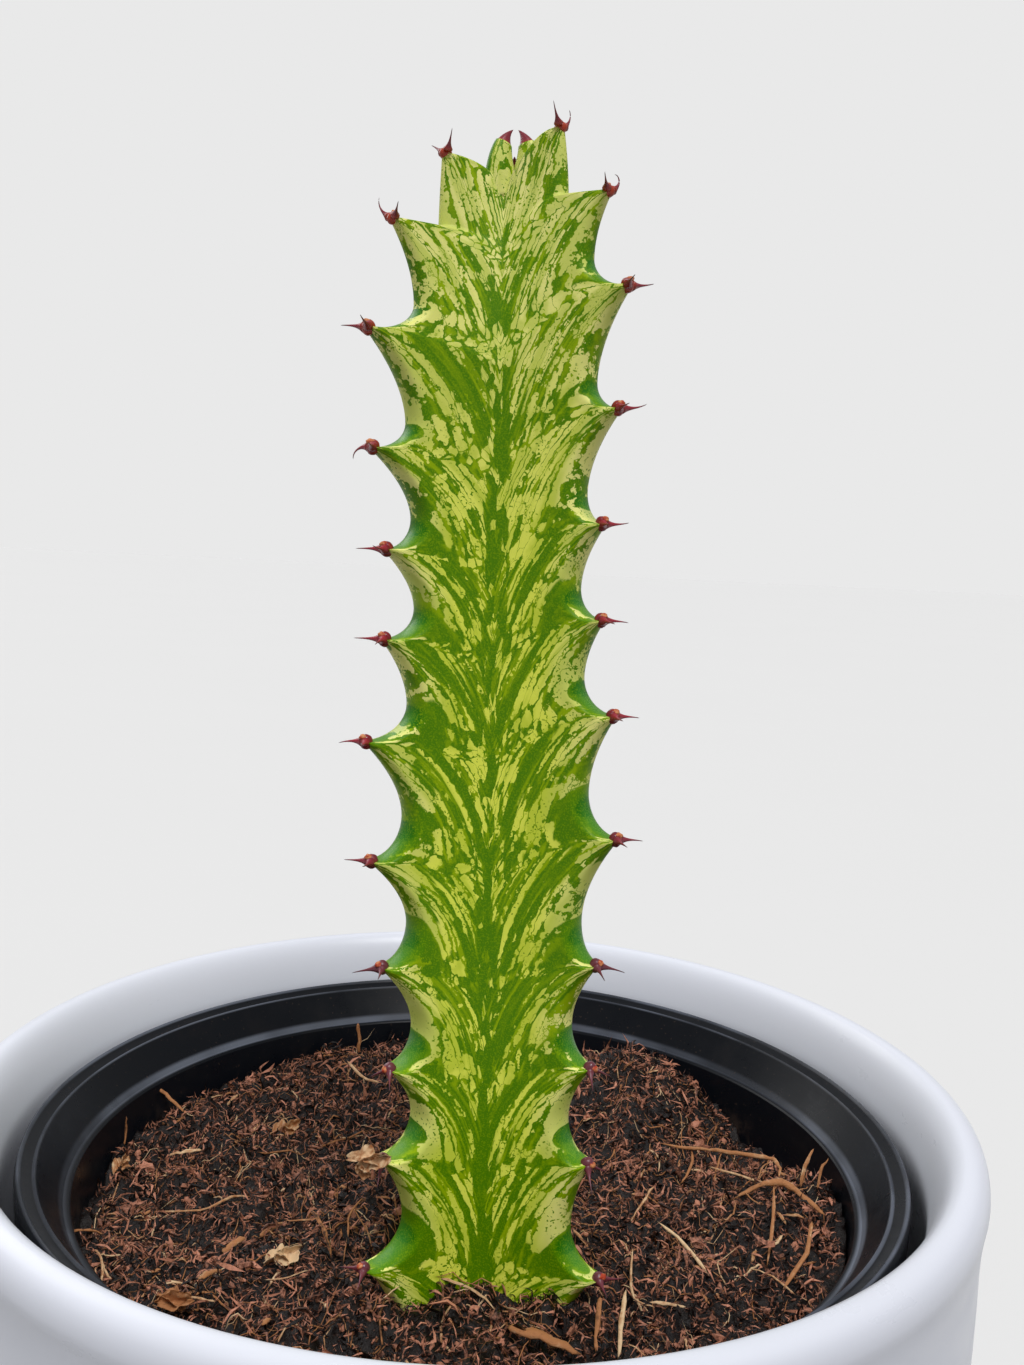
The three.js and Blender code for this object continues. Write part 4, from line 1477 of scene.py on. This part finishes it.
def add_scrap(shape, tone, middle, turn, long, broad, shade):
    """Adds a crumpled scrap of dry leaf: two ragged, folded tatters, one over the other."""
    for tatter in (-0.7, 0.7):
        tilt = Matrix.Rotation(0.7 * tatter, 3, "X") @ Matrix.Rotation(0.4 * tatter, 3, "Z")
        shift = Vector((0.16 * long * tatter, 0.1 * broad * tatter, 0.12 * broad * abs(tatter)))
        new = bmesh.ops.create_grid(shape, x_segments=12, y_segments=8, size=1.0)["verts"]
        for point in new:
            u, v = point.co.x, point.co.y
            ragged = 1 + 0.5 * noise.noise(Vector((1.7 * u + tatter, 1.1 * v, middle.x)))
            leaf = max(0.1, 1 - 0.9 * u * u) ** 0.5
            x, y = 0.42 * long * u * ragged, 0.42 * broad * v * leaf * ragged
            crumple = 0.45 * broad * abs(noise.noise(Vector((1.9 * u, 1.9 * v, middle.y + tatter))))
            z = 1.1 * abs(y) + 0.3 * long * u * u * tatter + crumple
            point.co = (middle + turn @ (shift + tilt @ Vector((x, y, z)))) * MM
            point[tone] = shade + 0.5 * noise.noise(Vector((4 * u, 4 * v, middle.x)))
        faces = list({face for point in new for face in point.link_faces})
        bmesh.ops.solidify(shape, geom=faces, thickness=0.1 * MM)


def scraps_shape():
    """The dry leaf scraps that lie on the soil."""
    shape, tone = toned_shape()
    for x, y, lift, long, broad, degrees, shade in SCRAPS:
        turn = Matrix.Rotation(math.radians(degrees), 3, "Z") @ Matrix.Rotation(0.5, 3, "X")
        middle = Vector((x, y, ground(x, y, 0.0) + lift))
        add_scrap(shape, tone, middle, turn, long, broad, shade)
    bmesh.ops.recalc_face_normals(shape, faces=shape.faces)
    return shape


def dry_leaf_shape():
    """The withered leaf on the left rib."""
    shape, tone = toned_shape()
    height, reach = LEFT_RIB["heights"][DRY_LEAF_TOOTH], LEFT_RIB["reaches"][DRY_LEAF_TOOTH]
    middle = rib_place(LEFT_RIB, reach + 2.3, 1.0, height + 1.2)
    turn = Matrix.Rotation(math.radians(12), 3, "Z") @ Matrix.Rotation(1.1, 3, "X")
    add_scrap(shape, tone, middle, turn, 5.4, 2.8, 0.7)
    second = middle + Vector((-1.2, -0.4, -1.2))
    turn = Matrix.Rotation(math.radians(60), 3, "Y") @ Matrix.Rotation(0.9, 3, "X")
    add_scrap(shape, tone, second, turn, 3.4, 2.0, 0.6)
    bmesh.ops.recalc_face_normals(shape, faces=shape.faces)
    return shape


class MILKTREE_OT_outer_pot(bpy.types.Operator):
    """Turn the white pot"""

    bl_idname = "milk_tree.outer_pot"
    bl_label = "White Pot"

    def execute(self, context):
        pots = context.scene.milk_tree_pots
        shape = turned(outer_outline(pots), pots.spin_steps)
        new_piece("white_outer_pot", shape, glaze_material(pots), OUTER_POT)
        return {"FINISHED"}


class MILKTREE_OT_nursery_pot(bpy.types.Operator):
    """Turn the black nursery pot with its step ring and skirt"""

    bl_idname = "milk_tree.nursery_pot"
    bl_label = "Nursery Pot"

    def execute(self, context):
        pots = context.scene.milk_tree_pots
        shape = turned(nursery_outline(pots), pots.spin_steps)
        piece = new_piece(
            "black_nursery_pot", shape, plastic_material(pots), NURSERY_POT
        )
        drill_drain_holes(context, piece)
        soften = piece.modifiers.new("soft edges", "BEVEL")
        soften.width = SOFT_EDGE * MM
        soften.segments = 3
        soften.limit_method = "ANGLE"
        soften.angle_limit = math.radians(SOFT_EDGE_ANGLE)
        return {"FINISHED"}


class MILKTREE_OT_stem(bpy.types.Operator):
    """Grow the stem's skin"""

    bl_idname = "milk_tree.stem"
    bl_label = "Stem"

    def execute(self, context):
        stem = context.scene.milk_tree_stem
        skin = skin_material(stem)
        new_piece("stem_skin", stem_shape(stem), skin, STEM)
        new_piece("young_teeth", young_teeth_shape(), skin, STEM)
        return {"FINISHED"}


class MILKTREE_OT_spines(bpy.types.Operator):
    """Set the shields and spines on the teeth"""

    bl_idname = "milk_tree.spines"
    bl_label = "Spines"

    def execute(self, context):
        spines = context.scene.milk_tree_spines
        shape = spines_shape(spines)
        new_piece("spines", shape, horn_material(spines), STEM)
        return {"FINISHED"}


class MILKTREE_OT_soil(bpy.types.Operator):
    """Fill in the soil and strew its crumbs, lumps and fibres"""

    bl_idname = "milk_tree.soil"
    bl_label = "Soil"

    def execute(self, context):
        soil = context.scene.milk_tree_soil
        coir, fibre = soil_material(soil), fibre_material(soil)
        new_piece("soil_surface", soil_shape(soil), coir, SOIL)
        chance = random.Random(soil.seed + 1)
        for name, (detail, small, large, lift) in STREWN.items():
            kinds = crumb_kinds(chance, detail) if detail else shred_kinds(chance)
            bits = strewn_shape(soil, kinds, getattr(soil, name), small, large, lift, chance)
            new_piece(f"soil_{name}", bits, coir, SOIL, smooth=False)
        new_piece("coir_fibres", fibres_shape(soil), fibre, SOIL)
        new_piece("straws_and_chips", litter_shape(soil), fibre, SOIL)
        new_piece("leaf_scraps", scraps_shape(), fibre, SOIL)
        new_piece("dry_leaf", dry_leaf_shape(), fibre, STEM)
        return {"FINISHED"}


class MILKTREE_OT_stage(bpy.types.Operator):
    """Lay the floor, and set the air, the lights and the camera"""

    bl_idname = "milk_tree.stage"
    bl_label = "Stage"

    def execute(self, context):
        stage = context.scene.milk_tree_stage
        self.floor(stage)
        self.air(context, stage)
        self.light(context, "key", *KEY_LIGHT, stage.key_strength)
        self.light(context, "fill", *FILL_LIGHT, stage.fill_strength)
        self.camera(context)
        context.scene.view_settings.view_transform = "Standard"
        return {"FINISHED"}

    def floor(self, stage):
        graph = Graph("pale floor", {"Roughness": 0.9, "Specular IOR Level": 0.1})
        shade = graph.speckle(graph.place(), 3.0, 3.0)
        darker = tuple(0.985 * channel for channel in stage.floor[:3]) + (1.0,)
        material = graph.finish(Base_Color=graph.mix(shade, stage.floor, darker))
        shape = bmesh.new()
        bmesh.ops.create_grid(shape, x_segments=4, y_segments=4, size=stage.floor_size)
        floor = linked("floor", shape, material)
        floor.visible_diffuse = False

    def air(self, context, stage):
        """The air: plain to the camera, and on the plant weaker from below than from above."""
        world = bpy.data.worlds.new("air")
        world.use_nodes = True
        nodes, links = world.node_tree.nodes, world.node_tree.links
        seen, lit = nodes["Background"], nodes.new("ShaderNodeBackground")
        for background in (seen, lit):
            background.inputs["Color"].default_value = stage.backdrop
        towards, height = nodes.new("ShaderNodeTexCoord"), nodes.new("ShaderNodeSeparateXYZ")
        rise = nodes.new("ShaderNodeMapRange")
        limits = (*AIR_HEIGHTS, *(stage.air_light * strength for strength in AIR_STRENGTHS))
        for number, limit in enumerate(limits):
            rise.inputs[number + 1].default_value = limit
        path, either = nodes.new("ShaderNodeLightPath"), nodes.new("ShaderNodeMixShader")
        links.new(towards.outputs["Generated"], height.inputs[0])
        links.new(height.outputs["Z"], rise.inputs["Value"])
        links.new(rise.outputs[0], lit.inputs["Strength"])
        links.new(path.outputs["Is Camera Ray"], either.inputs[0])
        links.new(lit.outputs[0], either.inputs[1])
        links.new(seen.outputs[0], either.inputs[2])
        links.new(either.outputs[0], nodes["World Output"].inputs["Surface"])
        context.scene.world = world

    def light(self, context, name, towards, softness, strength):
        """A far, wide, soft light, as even as a studio's, from a direction."""
        lamp = bpy.data.lights.new(name, "SUN")
        lamp.angle = math.radians(softness)
        lamp.energy = strength
        holder = bpy.data.objects.new(name, lamp)
        holder.rotation_euler = Vector(towards).to_track_quat("Z", "Y").to_euler()
        context.scene.collection.objects.link(holder)

    def camera(self, context):
        lens = bpy.data.cameras.new("camera")
        lens.sensor_width = SENSOR_MM
        lens.lens = SENSOR_MM * FOCAL_LENGTH_PIXELS / IMAGE_HEIGHT_PIXELS
        lens.clip_start = 0.01
        holder = bpy.data.objects.new("camera", lens)
        holder.matrix_world = (
            Matrix.Translation(CAMERA_PLACE)
            @ Matrix.Rotation(math.radians(-CAMERA_YAW), 4, "Z")
            @ Matrix.Rotation(math.radians(90 - CAMERA_PITCH), 4, "X")
            @ Matrix.Rotation(math.radians(CAMERA_ROLL), 4, "Z")
        )
        context.scene.collection.objects.link(holder)
        context.scene.camera = holder


class MILKTREE_PT_panel(bpy.types.Panel):
    """Lists the tree's pieces in the order that they are made"""

    bl_label = "Milk Tree"
    bl_idname = "MILKTREE_PT_panel"
    bl_space_type = "VIEW_3D"
    bl_region_type = "UI"
    bl_category = "Milk Tree"

    def draw(self, context):
        for operator in OPERATORS:
            self.layout.operator(operator.bl_idname)
        for name, group in SETTINGS.items():
            box = self.layout.box()
            for key in group.__annotations__:
                box.prop(getattr(context.scene, name), key)


SETTINGS = {
    "milk_tree_pots": PotSettings,
    "milk_tree_stem": StemSettings,
    "milk_tree_spines": SpineSettings,
    "milk_tree_soil": SoilSettings,
    "milk_tree_stage": StageSettings,
}
OPERATORS = (
    MILKTREE_OT_outer_pot,
    MILKTREE_OT_nursery_pot,
    MILKTREE_OT_soil,
    MILKTREE_OT_stem,
    MILKTREE_OT_spines,
    MILKTREE_OT_stage,
)


def register():
    for group in SETTINGS.values():
        bpy.utils.register_class(group)
    for name, group in SETTINGS.items():
        setattr(bpy.types.Scene, name, PointerProperty(type=group))
    for operator in OPERATORS:
        bpy.utils.register_class(operator)
    bpy.utils.register_class(MILKTREE_PT_panel)


def unregister():
    bpy.utils.unregister_class(MILKTREE_PT_panel)
    for operator in reversed(OPERATORS):
        bpy.utils.unregister_class(operator)
    for name, group in reversed(SETTINGS.items()):
        delattr(bpy.types.Scene, name)
        bpy.utils.unregister_class(group)


def main():
    register()
    bpy.ops.milk_tree.stage()
    bpy.ops.milk_tree.outer_pot()
    bpy.ops.milk_tree.nursery_pot()
    bpy.ops.milk_tree.soil()
    bpy.ops.milk_tree.stem()
    bpy.ops.milk_tree.spines()


if __name__ == "__main__":
    main()
